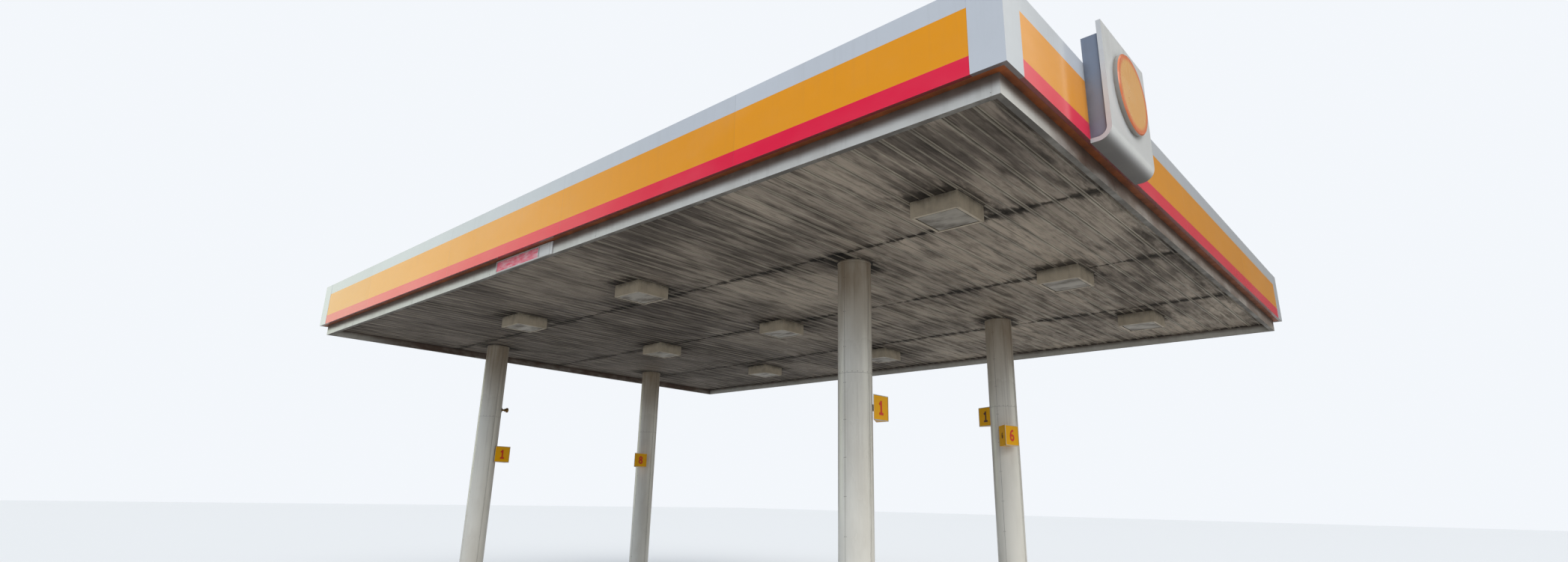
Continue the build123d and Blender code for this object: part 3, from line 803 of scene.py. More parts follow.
def add_warm_rim(tree, surface):
    """The disc goes from yellow to orange-red towards its rim, and its edge is grey."""
    low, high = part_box("pod_disc")
    place = place_of(tree)
    aside = calc(tree, "SUBTRACT", place["Y"], (low.y + high.y) / 2)
    above = calc(tree, "SUBTRACT", place["Z"], (low.z + high.z) / 2)
    from_middle = node(tree, "CombineXYZ", {"X": aside, "Y": above}).outputs[0]
    out = node(tree, "VectorMath", {0: from_middle}, operation="LENGTH").outputs["Value"]
    radius = (high.y - low.y) / 2
    warm = ramp(tree, out, radius * 0.80, radius * 0.93)
    surface = mix(tree, warm, surface, srgb(226, 110, 56))
    return mix(tree, ramp(tree, facing(tree, "X"), 0.3, 0.2), surface, srgb(150, 148, 144)), 0.0


disc_finish = weathered(
    "disc_face_faded", srgb(232, 170, 92), gloss=0.26, coat=0.25, drift=0.08, waves=0.1, peel=0.05,
    dust=(srgb(220, 196, 160), 0.15, (3, 3, 3)), streaks=(srgb(190, 150, 100), 0.15, 6.1, 0.8, 12.0),
    corners=(srgb(120, 90, 60), 0.5, 0.04), wear=(srgb(230, 200, 150), 0.2, 0.003), extra=add_warm_rim,
)
print("small finishes ready")

# %% [markdown]
# ## Give each CAD piece its finish
# The shapes from CAD are right, so they stay. Only the material in each object's slot changes.

# %% Assign finishes to the CAD pieces
slot_finish = {
    "galvanised_steel": galvanised_finish,
    "primed_steel": primer_finish,
    "column_cover_paint": cover_finish,
    "deck_paint": deck_finish,
    "trim_paint": trim_finish,
    "recess_paint": recess_finish,
    "pod_paint": pod_finish,
    "disc_face": disc_finish,
    "lamp_paint": lamp_finish,
    "lamp_lens": lens_finish,
    "flag_face": flag_finish,
    "plate_face": plate_finish,
}
node_slot = {row["node"]: row["material_slot"] for row in frame["record"]["subparts"]}
for name, piece in nodes.items():
    slot = node_slot[name]
    axis = "X" if name.endswith(("front", "back")) else "Y"
    finish = fascia_finish[slot, axis] if slot in fascia_paints else slot_finish[slot]
    # The pod housing takes the darker paint, partly painted shade
    finish = shaded_cheek_finish if name == "pod_housing" else finish
    for index in range(len(piece.material_slots)):
        piece.material_slots[index].material = finish
print("finished CAD pieces:", len(nodes))

# %% [markdown]
# ## Building small pieces
# Site fixings repeat by the hundred, so each kind is one joined mesh. A bmesh grows it from a
# list of places, which keeps the file small and the model light. Every mesh is written in the
# CAD frame's own coordinates, so the finishes above lie on it in the same way.

# %% Mesh helpers
def turned(direction):
    """A frame whose z axis is the given direction."""
    return Vector(direction).to_track_quat("Z", "Y").to_matrix()


def make_piece(name, mesh, finish, smooth=False):
    """Turn a bmesh into an object that rides on the canopy."""
    bmesh.ops.recalc_face_normals(mesh, faces=mesh.faces)
    data = bpy.data.meshes.new(name)
    mesh.to_mesh(data)
    mesh.free()
    for face in data.polygons:
        face.use_smooth = smooth
    data.materials.append(finish)
    piece = bpy.data.objects.new(name, data)
    bpy.context.scene.collection.objects.link(piece)
    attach(piece, "root")
    print(name, len(data.polygons), "faces")
    return piece


print("pieces can be made and ride on the canopy")

# %% Turned, boxed and riveted shapes
def join_loops(mesh, first, second):
    """A band of quads between two closed loops with the same number of points."""
    for step in range(len(first)):
        after = (step + 1) % len(first)
        mesh.faces.new((first[step], first[after], second[after], second[step]))


def add_lathe(mesh, place, direction, outline, sides=12, turn=0.0):
    """Spin an outline of (radius, height) pairs about a direction, closed by a cap at its end."""
    basis = turned(direction)
    rings = []
    for radius, level in outline:
        ring = []
        for step in range(sides):
            angle = turn + 2 * math.pi * step / sides
            offset = basis @ Vector((radius * math.cos(angle), radius * math.sin(angle), level))
            ring.append(mesh.verts.new(Vector(place) + offset))
        rings.append(ring)
    for lower, upper in zip(rings, rings[1:]):
        join_loops(mesh, lower, upper)
    mesh.faces.new(rings[-1])


def add_box(mesh, low, high, bevel=0.0):
    """A box between two corners, with its edges bevelled."""
    made = bmesh.ops.create_cube(mesh, size=1.0)["verts"]
    for vert, corner in zip(made, product(*zip(low, high))):
        vert.co = corner
    if bevel:
        edges = {edge for vert in made for edge in vert.link_edges}
        bmesh.ops.bevel(mesh, geom=list(edges), offset=bevel, segments=2, affect="EDGES", profile=0.5)


rivet_outline = [(1.0, 0.0), (0.92, 0.1925), (0.62, 0.4125), (0.25, 0.5225)]


def add_rivet(mesh, place, direction, radius, sides=10):
    """A low domed rivet head. Its outline is drawn for a radius of 1."""
    add_lathe(mesh, place, direction, [(radius * r, radius * h) for r, h in rivet_outline], sides)


print("mesh helpers ready")

# %% [markdown]
# ## Where the ceiling is free
# Anything laid on the ceiling has to stop at the columns' holes and at the lamps. For a strip
# that runs along y at a given x, this finds the lengths that are clear.

# %% Clear lengths of the ceiling
hole_gap = 0.018
hole_reach = cover_radius + hole_gap
shortest_strip = 0.02


def free_spans(x, half_width, start, end):
    """The lengths along y where a strip at x meets no column and no lamp."""
    stops = []
    for place in columns.values():
        room = hole_reach ** 2 - max(abs(x - place.x) - half_width, 0.0) ** 2
        if room > 0 and abs(x - place.x) - half_width < hole_reach:
            stops.append((place.y - math.sqrt(room), place.y + math.sqrt(room)))
    for lamp_x in lamp_xs:
        if abs(x - lamp_x) < lamp_size / 2 + half_width:
            stops += [(y - lamp_size / 2, y + lamp_size / 2) for y in lamp_ys]
    spans = []
    for low, high in sorted(stops) + [(end, end)]:
        if low > start:
            spans.append((start, min(low, end)))
        start = max(start, high)
        if start >= end:
            break
    return [(low, high) for low, high in spans if high - low > shortest_strip]


def add_strip(mesh, section, start, end):
    """A closed strip along y with the given section of (x, z) points."""
    near = [mesh.verts.new((x, start, z)) for x, z in section]
    far = [mesh.verts.new((x, end, z)) for x, z in section]
    join_loops(mesh, near, far)
    mesh.faces.new(near)
    mesh.faces.new(far[::-1])


row_spans = []
for row in range(row_count):
    low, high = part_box("deck_row_" + str(row + 1))
    row_spans.append((low.y, high.y))
print("a strip beside the first lamp is clear over", free_spans(lamp_xs[0], 0.01, *row_spans[0]))

# %% [markdown]
# ## Beads pressed into the pans
# Each pan is stiffened by one shallow rounded bead along its middle. It stands 4.5 mm below the
# flat of the pan, enough to catch the light as a thin line between the grooves.

# %% Pan beads
bead_half_width = 0.012
bead_drop = 0.0045
bead_root = 0.0003
bead_steps = 6


def add_line_soot_and_shade(tree, surface):
    """The ceiling's soot and painted shade, thinner on what is rubbed clean, for the recipe's extra
    layer.
    """
    dirt = use(tree, pan_grime_and_shade)
    layer = scaled(tree, dirt["Soot and shade"], 0.42, times(tree, dirt["Film"], 0.30), clamp=True)
    return mix(tree, layer, surface, srgb(44, 40, 37)), layer


lip_finish = weathered(
    "deck_lip_rubbed", srgb(200, 190, 172), gloss=0.36, drift=0.12, waves=0.3, peel=0.1,
    dust=(srgb(84, 76, 70), 0.60, (2.2, 1.3, 1)), corners=(srgb(34, 31, 28), 0.45, 0.05),
    wear=(srgb(208, 200, 186), 0.4, 0.003), extra=add_line_soot_and_shade,
)
bead_section = []
for step in range(bead_steps + 1):
    across = -1 + 2 * step / bead_steps
    depth = (bead_drop + bead_root) * math.cos(across * math.pi / 2)
    bead_section.append((across * bead_half_width, bead_root - depth))
beads = bmesh.new()
for row_start, row_end in row_spans:
    for pan in range(pan_count):
        middle = deck_right - (pan + 0.5) * pan_pitch
        section = [(middle + x, ceiling + z) for x, z in bead_section]
        for low, high in free_spans(middle, bead_half_width, row_start, row_end):
            add_strip(beads, section, low, high)
make_piece("pan_beads", beads, lip_finish, smooth=True)

# %% [markdown]
# ## Rolled lips of the pans
# A pan's edge is rolled round and turned up into the standing rib, so each groove opens through
# two rounded lips with a dark slit between them. From below, the lip that faces the light is
# the pale line, and the slit is the thin dark one beside it.

# %% Pan lips
groove_half = 0.019
lip_half = 0.012
lip_profile = [
    (0.0075, 0.0004), (0.0062, -0.0018), (0.0030, -0.0030), (-0.0040, -0.0028), (-0.0100, -0.0008),
    (-0.0145, 0.0045), (-0.0160, 0.0130), (-0.0008, 0.0134), (0.0004, 0.0006),
]
lips = bmesh.new()
for row_start, row_end in row_spans:
    for joint in range(1, pan_count):
        middle = deck_right - joint * pan_pitch
        for side in (-1, 1):
            section = [(middle + side * (groove_half + x), ceiling + z) for x, z in lip_profile]
            for low, high in free_spans(middle + side * groove_half, lip_half, row_start, row_end):
                add_strip(lips, section, low, high)
make_piece("pan_lips", lips, lip_finish)

# %% [markdown]
# ## End laps
# Where two rows of pans meet, the end of one laps the other. The lap's edge is the broken line
# across the ceiling on which the soot hangs.

# %% End laps
lap_half = 0.014
lap_gauge = 0.0018
lap_seat = 0.0004
lap_inset = groove_half + lip_profile[0][0]
laps = bmesh.new()
for row_start, row_end in row_spans[:-1]:
    seam = row_end + (row_pitch - (row_end - row_start)) / 2
    for pan in range(pan_count):
        low_x = deck_right - (pan + 1) * pan_pitch + (lap_inset if pan < pan_count - 1 else 0)
        high_x = deck_right - pan * pan_pitch - (lap_inset if pan else 0)
        low = (low_x, seam - lap_half, ceiling - lap_gauge)
        high = (high_x, seam + lap_half, ceiling + lap_seat)
        if free_spans((low_x + high_x) / 2, (high_x - low_x) / 2, low[1], high[1]):
            add_box(laps, low, high, bevel=0.0006)
make_piece("pan_end_laps", laps, deck_finish)

# %% [markdown]
# ## Numerals on the flags
# The numerals are cut from 3 mm sheet, red or dark, and stuck on. Each is a few bars of even
# width that follow a line drawn in a square one unit high: straight bars for a 1, rings for an
# 8, and a ring with a curl over it for a 6. The same drawing serves the large and the small
# numerals. Where bars cross, each is a little thicker than the one before, so none coincide.
# The numerals on the slopes are dark. On the one high flag, which stands in shade, the face numeral
# is painted dark as shade.

# %% Numerals
numeral_finish = weathered(
    "numeral_red", srgb(226, 40, 14), gloss=0.30, shine=0.25, drift=0.06, waves=0.0,
    dust=(srgb(190, 120, 90), 0.10, (8, 8, 8)), corners=(srgb(110, 30, 20), 0.4, 0.01),
)
dark_and_shaded_numeral_finish = weathered(
    "numeral_dark_and_shaded", srgb(92, 40, 16), gloss=0.30, shine=0.25, waves=0.0,
    dust=(srgb(150, 96, 50), 0.15, (8, 8, 8)), corners=(srgb(60, 24, 12), 0.4, 0.01),
)
numeral_gauge = 0.003
bar_step = 0.0002
numeral_stroke = 0.17
face_size, slope_size = 0.18, 0.09
flag_height, flag_width = 0.32, 0.33
shaded_flag_level = 3.5


def ring_line(x, y, width, height, steps=20):
    """A closed oval line about (x, y)."""
    angles = [2 * math.pi * step / steps for step in range(steps)]
    return [(x + width * math.cos(angle), y + height * math.sin(angle)) for angle in angles]


# Each numeral has its lines, and each line says whether it closes on itself
numeral_lines = {
    "1": [([(0.03, -0.42), (0.03, 0.5)], False),
          ([(0.06, 0.43), (-0.08, 0.30), (-0.20, 0.24)], False),
          ([(-0.22, -0.42), (0.27, -0.42)], False)],
    "6": [(ring_line(0.0, -0.20, 0.21, 0.22), True),
          ([(-0.21, -0.20), (-0.21, 0.0), (-0.17, 0.18),
            (-0.08, 0.33), (0.05, 0.41), (0.20, 0.40)], False)],
    "8": [(ring_line(0.0, -0.21, 0.21, 0.21), True), (ring_line(0.0, 0.23, 0.17, 0.18), True)],
}
print("numerals drawn:", ", ".join(numeral_lines))

# %% Bars that follow a line
def add_bar(mesh, points, closed, stroke, gauge, place):
    """A flat bar of even width that follows a line. place puts its (x, y, z) into the model."""
    sections = []
    last = len(points) - 1
    for index, (x, y) in enumerate(points):
        before = points[index - 1] if closed or index > 0 else (x, y)
        after = points[(index + 1) % len(points)] if closed or index < last else (x, y)
        along = Vector((after[0] - before[0], after[1] - before[1])).normalized() * (stroke / 2)
        edges = [(x - along.y, y + along.x), (x + along.y, y - along.x)]
        corners = [(*edges[0], 0), (*edges[1], 0), (*edges[1], gauge), (*edges[0], gauge)]
        sections.append([mesh.verts.new(place(*corner)) for corner in corners])
    followers = sections[1:] + sections[:1] if closed else sections[1:]
    for near, far in zip(sections, followers):
        join_loops(mesh, near, far)
    if not closed:
        mesh.faces.new(sections[0])
        mesh.faces.new(sections[-1][::-1])


def numeral(name, text, size, middle, outward, finish):
    """A raised numeral centred on a place and facing outward."""
    outward = outward.normalized()
    side = Vector((0, 0, 1)).cross(outward)
    figure = bmesh.new()
    for count, (points, closed) in enumerate(numeral_lines[text]):
        gauge = numeral_gauge + bar_step * count
        add_bar(figure, points, closed, numeral_stroke, gauge,
                lambda x, y, z: middle + side * (x * size) + Vector((0, 0, y * size)) + outward * z)
    make_piece(name, figure, finish)


print("bars are", numeral_stroke, "of a numeral's height")

# %% Numerals on the flags
def flag_place(column_name, flag_top, turn):
    """A flag's turn about its column and the place that it is measured from."""
    column = columns[column_name]
    centre = Vector((column.x, column.y, flag_top - flag_height / 2))
    return Matrix.Rotation(math.radians(turn), 3, "Z"), centre


# A flag's turn, reach, corner, depth and step as in the CAD part
side_flag = (0, cover_radius - 0.015, 0.435, 0.190, 0.0)
ahead_flag = (-12, 0.378, -0.145, 0.250, 0.165)
behind_flag = (-112, 0.050, -cover_radius - 0.008, 0.190, 0.0)
flags = [
    ("front_right", "1", 3.28, side_flag),
    ("back_right", "6", 3.19, ahead_flag),
    ("back_right", "1", 3.57, behind_flag),
    ("front_left", "1", 2.94, side_flag),
    ("back_left", "8", 3.00, ahead_flag),
]
for count, (column_name, text, flag_top, (turn, reach, corner, depth, step)) in enumerate(flags, 1):
    spin, centre = flag_place(column_name, flag_top, turn)
    face_middle = centre + spin @ Vector((reach, corner - flag_width / 2, 0))
    slope_middle = centre + spin @ Vector((reach - depth / 2, corner - (flag_width + step) / 2, 0))
    ahead = spin @ Vector((1, 0, 0))
    slope = spin @ Vector((step - flag_width, -depth, 0))
    # On the high flag the face numeral is painted dark as shade
    face_finish = dark_and_shaded_numeral_finish if flag_top > shaded_flag_level else numeral_finish
    numeral(f"numeral_{count}_face", text, face_size, face_middle, ahead, face_finish)
    numeral(f"numeral_{count}_slope", text, slope_size, slope_middle, slope, dark_and_shaded_numeral_finish)

# %% [markdown]
# ## Rims of the flags
# A pale aluminium angle holds each flag's face. Seen edge-on it is the thin light line round
# the yellow. It is a flat frame of four mitred strips, 3 mm proud.

# %% Flag rims
rim_finish = weathered(
    "rim_aluminium", srgb(196, 192, 184), gloss=0.38, metallic=0.6, drift=0.15, waves=0.0,
    dust=(srgb(150, 140, 124), 0.25, (8, 8, 8)), corners=(srgb(110, 84, 50), 0.5, 0.02),
)
rim_width = 0.009
rim_gauge = 0.003
rims = bmesh.new()
for column_name, text, flag_top, (turn, reach, corner, depth, step) in flags:
    spin, centre = flag_place(column_name, flag_top, turn)
    loops = []
    for inset, proud in ((0, 0), (0, rim_gauge), (rim_width, rim_gauge), (rim_width, 0)):
        loop = []
        for side, level in ((0, -1), (1, -1), (1, 1), (0, 1)):
            y = corner - inset if side == 0 else corner - flag_width + inset
            z = level * (flag_height / 2 - inset)
            loop.append(rims.verts.new(centre + spin @ Vector((reach + proud, y, z))))
        loops.append(loop)
    for first, second in zip(loops, loops[1:]):
        join_loops(rims, first, second)
make_piece("flag_rims", rims, rim_finish)

# %% [markdown]
# ## Seams and rivets of the column covers
# A cover is made of quarter shells. On its left and right their edges are folded out into a
# pair of slim ridges with a hairline between them. At its front and back they only butt, with
# a dark hairline and rivets about every half metre. One dotted line round the cover is the
# joint between its upper and lower lengths, a slim collar stiffens its top, and above the
# collar a dark rubber seal closes the hole in the ceiling.

# %% Strips and rings on a cover
cover_bottom = columns["front_right"].z
collar_top = ceiling - 0.006
collar_height = 0.020
seam_top = collar_top - collar_height
joint_level = 3.525
tuck = 0.0008
ridge_width = 0.011
ridge_offset = 0.014
ridge_gauge = 0.0035
hairline_width = 0.0028
hairline_gauge = 0.0006
rivet_spacing = 0.46
rivet_aside = 0.013
first_rivet, last_rivet = cover_bottom + 0.15, collar_top - 0.2
joint_rivets = 20
joint_rivet_level = joint_level + 0.016


def on_cover(place, angle, level, proud=0.0):
    """A point on a column cover and the direction out of it."""
    outward = Vector((math.cos(angle), math.sin(angle), 0))
    return Vector((place.x, place.y, level)) + outward * (cover_radius + proud), outward


def add_upright(mesh, place, angle, width, gauge):
    """A slim strip that stands on a column cover from its foot to the collar."""
    half = width / 2 / cover_radius
    outline = [(-tuck, -half), (gauge * 0.6, -half), (gauge, -half * 0.6)]
    outline += [(out, -across) for out, across in outline[::-1]]
    loops = []
    for level in (cover_bottom, seam_top):
        spots = [on_cover(place, angle + across, level, out)[0] for out, across in outline]
        loops.append([mesh.verts.new(spot) for spot in spots])
    join_loops(mesh, *loops)
    mesh.faces.new(loops[0])
    mesh.faces.new(loops[1])


def add_ring(mesh, place, profile, level, sides=72):
    """A ring round a column, its closed profile in (out, rise) from the cover's skin."""
    loops = []
    for out, rise in profile:
        angles = [2 * math.pi * step / sides for step in range(sides)]
        spots = [on_cover(place, angle, level + rise, out)[0] for angle in angles]
        loops.append([mesh.verts.new(spot) for spot in spots])
    for first, second in zip(loops, loops[1:] + loops[:1]):
        join_loops(mesh, first, second)


print("seams run from", round(cover_bottom, 3), "to", round(seam_top, 3))

# %% Finishes and profiles of the seams
# The hairlines' dark colour is painted shade of the narrow gaps in the seams and the joint
hairline_shade_finish = weathered(
    "joint_hairline_shade", srgb(84, 76, 68), gloss=0.6, drift=0.3, waves=0.0,
    dust=(srgb(150, 142, 130), 0.5, (9, 9, 2)), corners=(soot, 0.2, 0.02),
    wear=(srgb(150, 140, 126), 0.3, 0.002),
)
seal_finish = weathered(
    "seal_rubber", srgb(40, 38, 37), gloss=0.7, drift=0.2, waves=0.0,
    dust=(srgb(90, 84, 76), 0.3, (12, 12, 12)), corners=(soot, 0.5, 0.02),
    wear=(srgb(80, 76, 70), 0.3, 0.002),
)
rivet_finish = weathered(
    "rivet_dark", srgb(98, 88, 78), gloss=0.45, metallic=0.5, drift=0.3, waves=0.0,
    dust=(srgb(120, 96, 70), 0.5, (30, 30, 30)), corners=(soot, 0.6, 0.01),
    wear=(srgb(150, 146, 140), 0.4, 0.001),
)
joint_profile = [(-tuck, 0.0), (0.0005, 0.0), (0.0005, 0.0022), (-tuck, 0.0022)]
collar_profile = [
    (-tuck, -collar_height), (0.0030, -collar_height + 0.002), (0.0042, -collar_height + 0.006),
    (0.0042, -0.004), (0.0025, 0.0), (-tuck, 0.0),
]
seal_profile = [(-0.0006, 0.0024), (0.030, 0.0024), (0.030, 0.010), (-0.0006, 0.016)]
print("seam finishes:", hairline_shade_finish.name, seal_finish.name, rivet_finish.name)

# %% Seams, seals, ridges, collars and rivets
ridges, hairlines, cover_rivets = bmesh.new(), bmesh.new(), bmesh.new()
collars, seals = bmesh.new(), bmesh.new()
for place in columns.values():
    for seam in (0.0, math.pi):
        for side in (-1, 1):
            angle = seam + side * ridge_offset / cover_radius
            add_upright(ridges, place, angle, ridge_width, ridge_gauge)
        add_upright(hairlines, place, seam, hairline_width, hairline_gauge)
    for seam in (math.pi / 2, -math.pi / 2):
        add_upright(hairlines, place, seam, hairline_width, hairline_gauge)
        level = first_rivet
        while level < last_rivet:
            for side in (-1, 1):
                spot, outward = on_cover(place, seam + side * rivet_aside / cover_radius, level)
                add_rivet(cover_rivets, spot, outward, 0.0045)
            level += rivet_spacing
    add_ring(hairlines, place, joint_profile, joint_level)
    for step in range(joint_rivets):
        angle = 2 * math.pi * (step + 0.5) / joint_rivets
        spot, outward = on_cover(place, angle, joint_rivet_level)
        add_rivet(cover_rivets, spot, outward, 0.0042)
    add_ring(collars, place, collar_profile, collar_top)
    add_ring(seals, place, seal_profile, ceiling)
make_piece("column_seals", seals, seal_finish)
make_piece("cover_ridges", ridges, cover_finish)
make_piece("cover_hairlines", hairlines, hairline_shade_finish)
make_piece("cover_collars", collars, cover_finish, smooth=True)
make_piece("cover_rivets", cover_rivets, rivet_finish, smooth=True)

# %% [markdown]
# ## A capped stub on one column
# The front left column carries a short brass stub with a cap, a fitting no longer in use. It
# is turned in three parts: flange with its neck, hexagon collar and domed cap.

# %% Capped stub
brass_finish = weathered(
    "brass_brown", srgb(148, 112, 58), gloss=0.38, metallic=0.8, drift=0.3, waves=0.0,
    dust=(srgb(84, 64, 40), 0.6, (20, 20, 20)), corners=(soot, 0.5, 0.04),
    wear=(srgb(196, 160, 96), 0.5, 0.002),
)
stub_angle = math.radians(63)
stub_level = 3.69
flange = [(0.046, 0.0), (0.046, 0.007), (0.041, 0.010), (0.020, 0.012), (0.020, 0.085)]
hexagon = [(0.031, 0.0), (0.036, 0.003), (0.036, 0.026), (0.031, 0.029)]
dome = [(0.044, 0.0), (0.048, 0.005), (0.048, 0.032), (0.043, 0.042), (0.028, 0.050), (0.010, 0.053)]
spot, outward = on_cover(columns["front_left"], stub_angle, stub_level, -0.001)
stub = bmesh.new()
for outline, start, sides in ((flange, 0.0, 24), (hexagon, 0.052, 6), (dome, 0.083, 24)):
    add_lathe(stub, spot + outward * start, outward, outline, sides)
make_piece("column_stub", stub, brass_finish)

# %% [markdown]
# ## Gutter joints
# The gutter comes in lengths of about two and a half metres. At each joint a narrow strap is
# riveted over the butt, and the corner's own short piece starts close to the mitre.

# %% Gutter joints
strap_width = 0.014
strap_proud = 0.0016
strap_seat = 0.0004
strap_top = fascia_bottom + 0.002
joint_step = 2.54
corner_piece = 0.078
shortest_piece = 0.3
strap_rivet_levels = (gutter_bottom + 0.03, gutter_bottom + 0.13)
straps, strap_rivets = bmesh.new(), bmesh.new()


def add_strap(x, y, outward):
    """A strap with two rivets over a joint at (x, y) on the gutter's outer face."""
    outward = Vector(outward)
    outer = Vector((x, y, 0)) + outward * strap_proud
    inner = Vector((x, y, 0)) - outward * strap_seat
    half = Vector((abs(outward.y), abs(outward.x), 0)) * (strap_width / 2)
    low = Vector([min(pair) for pair in zip(outer, inner)]) - half
    high = Vector([max(pair) for pair in zip(outer, inner)]) + half
    low.z, high.z = gutter_bottom, strap_top
    add_box(straps, low, high, bevel=0.0005)
    for level in strap_rivet_levels:
        add_rivet(strap_rivets, (outer.x, outer.y, level), outward, 0.0035)


for sign, face in ((-1, trim_front), (1, trim_back)):
    x = trim_right - corner_piece
    while x > trim_left + shortest_piece:
        add_strap(x, face, (0, sign, 0))
        x -= joint_step
for sign, face in ((1, trim_right), (-1, trim_left)):
    y = trim_back - corner_piece
    while y > trim_front + shortest_piece:
        add_strap(face, y, (sign, 0, 0))
        y -= joint_step
make_piece("gutter_straps", straps, trim_finish)
make_piece("gutter_strap_rivets", strap_rivets, rivet_finish, smooth=True)

# %% [markdown]
# ## Clearance plate
# The plate is bare: a pale frame with a red field that the sun has bleached to pink, a pale
# field beside it, and a deeper end block. The frame's bars stand 5 mm proud of the plate.

# %% Clearance plate
field_red = weathered(
    "plate_field_bleached", srgb(236, 92, 116), gloss=0.5, drift=0.25, waves=0.1,
    dust=(srgb(240, 214, 214), 0.75, (7, 14, 26)), corners=(srgb(96, 60, 56), 0.5, 0.03),
    wear=(srgb(226, 220, 216), 0.5, 0.003),
)
plate_low, plate_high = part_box("clearance_plate")
bar_width = 0.013
bar_proud = 0.005
end_bar = 0.045
end_block = 0.055
block_proud = 0.002
field_gap = 0.001
field_front, field_back = 0.002, 0.0034
field_split = plate_low.x + (plate_high.x - plate_low.x) * 0.80
field_end = field_split - bar_width / 2
seat = plate_low.y + 0.0004
inner_bottom = plate_low.z + bar_width
inner_top = plate_high.z - bar_width
bars = [
    (plate_low.x, plate_high.x, plate_low.z, inner_bottom),
    (plate_low.x, plate_high.x, inner_top, plate_high.z),
    (plate_low.x, plate_low.x + bar_width, inner_bottom, inner_top),
    (field_end, field_split + bar_width / 2, inner_bottom, inner_top),
    (plate_high.x - end_bar, plate_high.x, inner_bottom, inner_top),
]
plate_frame = bmesh.new()
for start, end, bottom, top in bars:
    add_box(plate_frame, (start, plate_low.y - bar_proud, bottom), (end, seat, top), bevel=0.0008)
low = (plate_high.x, plate_low.y - block_proud, plate_low.z - block_proud)
high = (plate_high.x + end_block, plate_high.y, plate_high.z)
add_box(plate_frame, low, high, bevel=0.0015)
make_piece("plate_frame", plate_frame, plate_finish)
field_start = plate_low.x + bar_width + 2 * field_gap
low = (field_start, plate_low.y + field_front, inner_bottom + field_gap)
high = (field_end, plate_low.y + field_back, inner_top - field_gap)
field = bmesh.new()
add_box(field, low, high)
make_piece("plate_red_field", field, field_red)

# %% [markdown]
# ## Anchor nuts
# Four cast-in studs come up through each base plate. Each carries a washer, a hexagon nut with
# turned corners and a stub of thread, all in dull galvanised steel with a little rust.

# %% Anchor nuts
anchor_reach = 0.190
nut_bottom, nut_top = 0.004, 0.0235
thread_pitch = 0.0025
washer = [(0.024, 0.0), (0.024, nut_bottom), (0.012, nut_bottom)]
nut = [(0.0205, nut_bottom), (0.0210, 0.0055), (0.0210, 0.0215), (0.0190, nut_top), (0.012, nut_top)]
thread = [(0.012, 0.020)]
for turn in range(9):
    level = nut_top + turn * thread_pitch
    thread += [(0.0118, level), (0.0108, level + thread_pitch / 2)]
thread.append((0.0095, 0.0475))
upward = (0, 0, 1)
anchors = bmesh.new()
for place, side_x, side_y in product(columns.values(), (-1, 1), (-1, 1)):
    foot = Vector((place.x + side_x * anchor_reach, place.y + side_y * anchor_reach, cover_bottom))
    add_lathe(anchors, foot, upward, washer, 20)
    add_lathe(anchors, foot, upward, nut, 6, turn=0.3 * side_x + 0.2 * side_y)
    add_lathe(anchors, foot, upward, thread, 14)
make_piece("anchor_nuts", anchors, galvanised_finish)

# %% [markdown]
# ## Lamp details
# Under each lamp the lens is held by four corner latches, each with its screw, and the
# housing has two screws near the top of each side.

# %% Lamp details
latch_reach = lamp_size / 2 - 0.020
latch_half = 0.013
latch_bottom, latch_top = lamp_bottom - 0.004, lamp_bottom + 0.001
screw_radius = 0.006
screw_aside = 0.2
screw_level = ceiling - 0.035
latches, lamp_screws = bmesh.new(), bmesh.new()
for x, y in product(lamp_xs, lamp_ys):
    for side_x, side_y in product((-1, 1), (-1, 1)):
        corner_x, corner_y = x + side_x * latch_reach, y + side_y * latch_reach
        low = (corner_x - latch_half, corner_y - latch_half, latch_bottom)
        high = (corner_x + latch_half, corner_y + latch_half, latch_top)
        add_box(latches, low, high, bevel=0.0015)
        add_rivet(lamp_screws, (corner_x, corner_y, latch_bottom), (0, 0, -1), screw_radius)
    for out_x, out_y in ((1, 0), (-1, 0), (0, 1), (0, -1)):
        out = Vector((out_x, out_y, 0))
        side = Vector((x, y, screw_level)) + out * (lamp_size / 2)
        for aside in (-screw_aside, screw_aside):
            add_rivet(lamp_screws, side + Vector((-out_y, out_x, 0)) * aside, out, screw_radius)
make_piece("lamp_latches", latches, lamp_finish)
make_piece("lamp_screws", lamp_screws, rim_finish, smooth=True)

# %% [markdown]
# ## The floor and the light
# The floor is a plain pale slab, wide enough to meet the sky, and a little darker to the light
# than to the camera, so it doesn't flood the ceiling from below. One soft sun from the
# camera's side and an even pale sky light the canopy at a plain level, so a paint looks about
# as it is written. The background's whiteness comes from what the camera is shown, not from
# more light, and glossy paint mirrors a plain studio that has a dim and a bright part.

# %% Stage
floor_mesh = bmesh.new()
bmesh.ops.create_grid(floor_mesh, x_segments=1, y_segments=1, size=150)
floor_data = bpy.data.meshes.new("studio_floor")
floor_mesh.to_mesh(floor_data)
floor_mesh.free()
floor = bpy.data.objects.new("studio_floor", floor_data)
floor.location.z = -0.002
bpy.context.scene.collection.objects.link(floor)
floor_finish = bpy.data.materials.new("studio_floor")
floor_finish.use_nodes = True
floor_shader = floor_finish.node_tree.nodes["Principled BSDF"]
floor_shader.inputs["Roughness"].default_value = 0.9
rays = node(floor_finish.node_tree, "LightPath").outputs
shown = mix(floor_finish.node_tree, rays["Is Camera Ray"], (0.50, 0.48, 0.45, 1), (0.86, 0.86, 0.86, 1))
put(floor_finish.node_tree, shown, floor_shader.inputs["Base Color"])
floor_data.materials.append(floor_finish)
print("floor laid at z =", round(floor.location.z, 4))

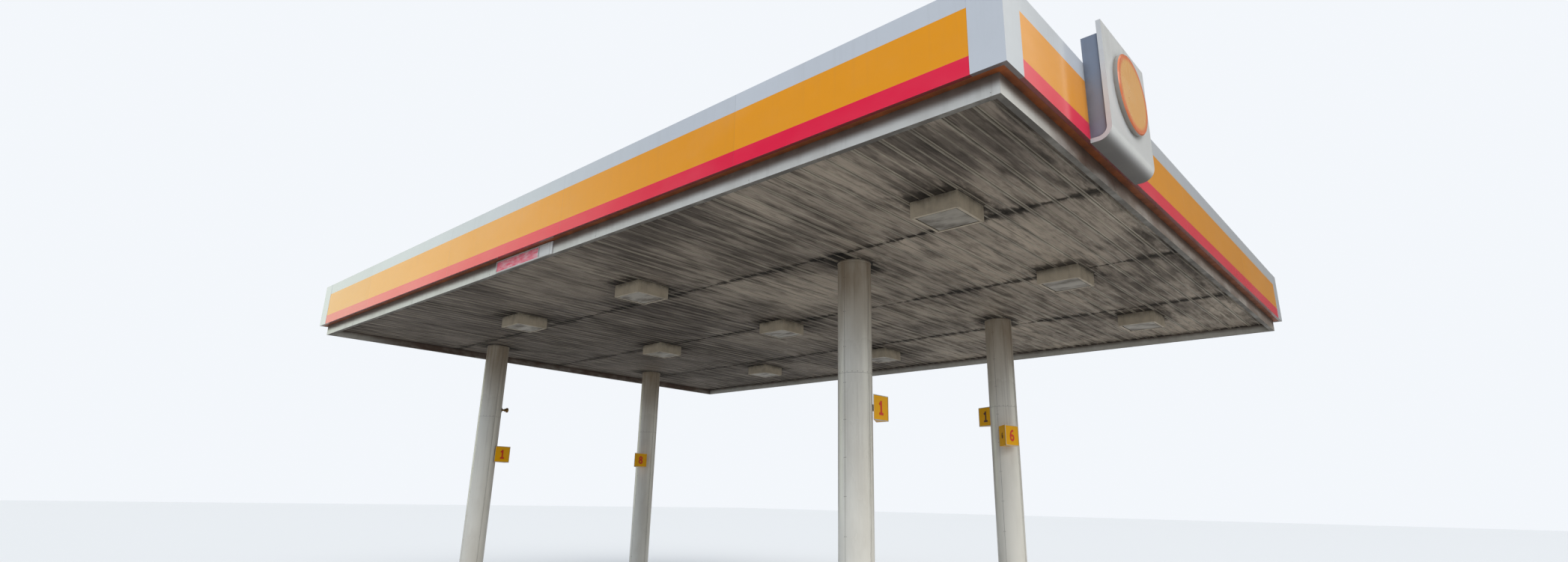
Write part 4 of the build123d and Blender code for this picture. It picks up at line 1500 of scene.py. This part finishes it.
# %% Sky and studio
world = bpy.data.worlds.new("studio_sky")
bpy.context.scene.world = world
world.use_nodes = True
sky = world.node_tree
sky.nodes.clear()
rays = sky.nodes.new("ShaderNodeLightPath").outputs
towards = node(sky, "SeparateXYZ", {0: node(sky, "TexCoord").outputs["Generated"]}).outputs
open_side = ramp(sky, towards["Y"], -0.80, -0.25)
near_ground = ramp(sky, towards["Z"], 0.16, 0.02)
halfway_up = times(sky, ramp(sky, towards["Z"], 0.75, 0.50), ramp(sky, towards["Y"], -0.20, -0.75))
strength = scaled(sky, halfway_up, 0.36, scaled(sky, near_ground, -0.45, 0.80))
light_colour = mix(sky, open_side, (0.68, 0.80, 0.96, 1), (0.90, 0.95, 1.0, 1))
lighting = node(sky, "Background", {"Color": light_colour, "Strength": strength}).outputs[0]
heading = calc(sky, "DIVIDE", towards["X"], calc(sky, "MAXIMUM", towards["Y"], 0.01))
behind_colour = mix(sky, ramp(sky, heading, 0.385, 0.400), (0.14, 0.13, 0.11, 1), (1.10, 1.12, 1.00, 1))
grazing = ramp(sky, towards["X"], -0.66, -0.90)
front_colour = mix(sky, grazing, (0.24, 0.26, 0.30, 1), (1.25, 1.34, 1.02, 1))
mirror_colour = mix(sky, ramp(sky, towards["Y"], -0.12, 0.12), front_colour, behind_colour)
shown_colour = mix(sky, rays["Is Camera Ray"], mirror_colour, (0.90, 0.93, 0.97, 1))
shown = node(sky, "Background", {"Color": shown_colour, "Strength": 1.0}).outputs[0]
mirrored = calc(sky, "MAXIMUM", rays["Is Glossy Ray"], rays["Is Transmission Ray"])
seen = calc(sky, "MAXIMUM", rays["Is Camera Ray"], mirrored)
both = sky.nodes.new("ShaderNodeMixShader")
put(sky, seen, both.inputs[0])
put(sky, lighting, both.inputs[1])
put(sky, shown, both.inputs[2])
output = sky.nodes.new("ShaderNodeOutputWorld")
put(sky, both.outputs[0], output.inputs["Surface"])
print("sky and studio ready")

# %% Sun
sun_data = bpy.data.lights.new("soft_sun", "SUN")
sun_data.energy = 1.5
sun_data.angle = math.radians(40)
sun_data.color = (1.0, 0.97, 0.93)
sun = bpy.data.objects.new("soft_sun", sun_data)
sun.rotation_mode = "QUATERNION"
sun.rotation_quaternion = Vector((0.70, -0.42, 0.56)).to_track_quat("Z", "Y")
bpy.context.scene.collection.objects.link(sun)
print("sun at strength", sun_data.energy)

# %% [markdown]
# ## Finish
# The view transform is plain, so colours come out as they are written.

# %% View settings and finish
bpy.context.scene.view_settings.view_transform = "Standard"
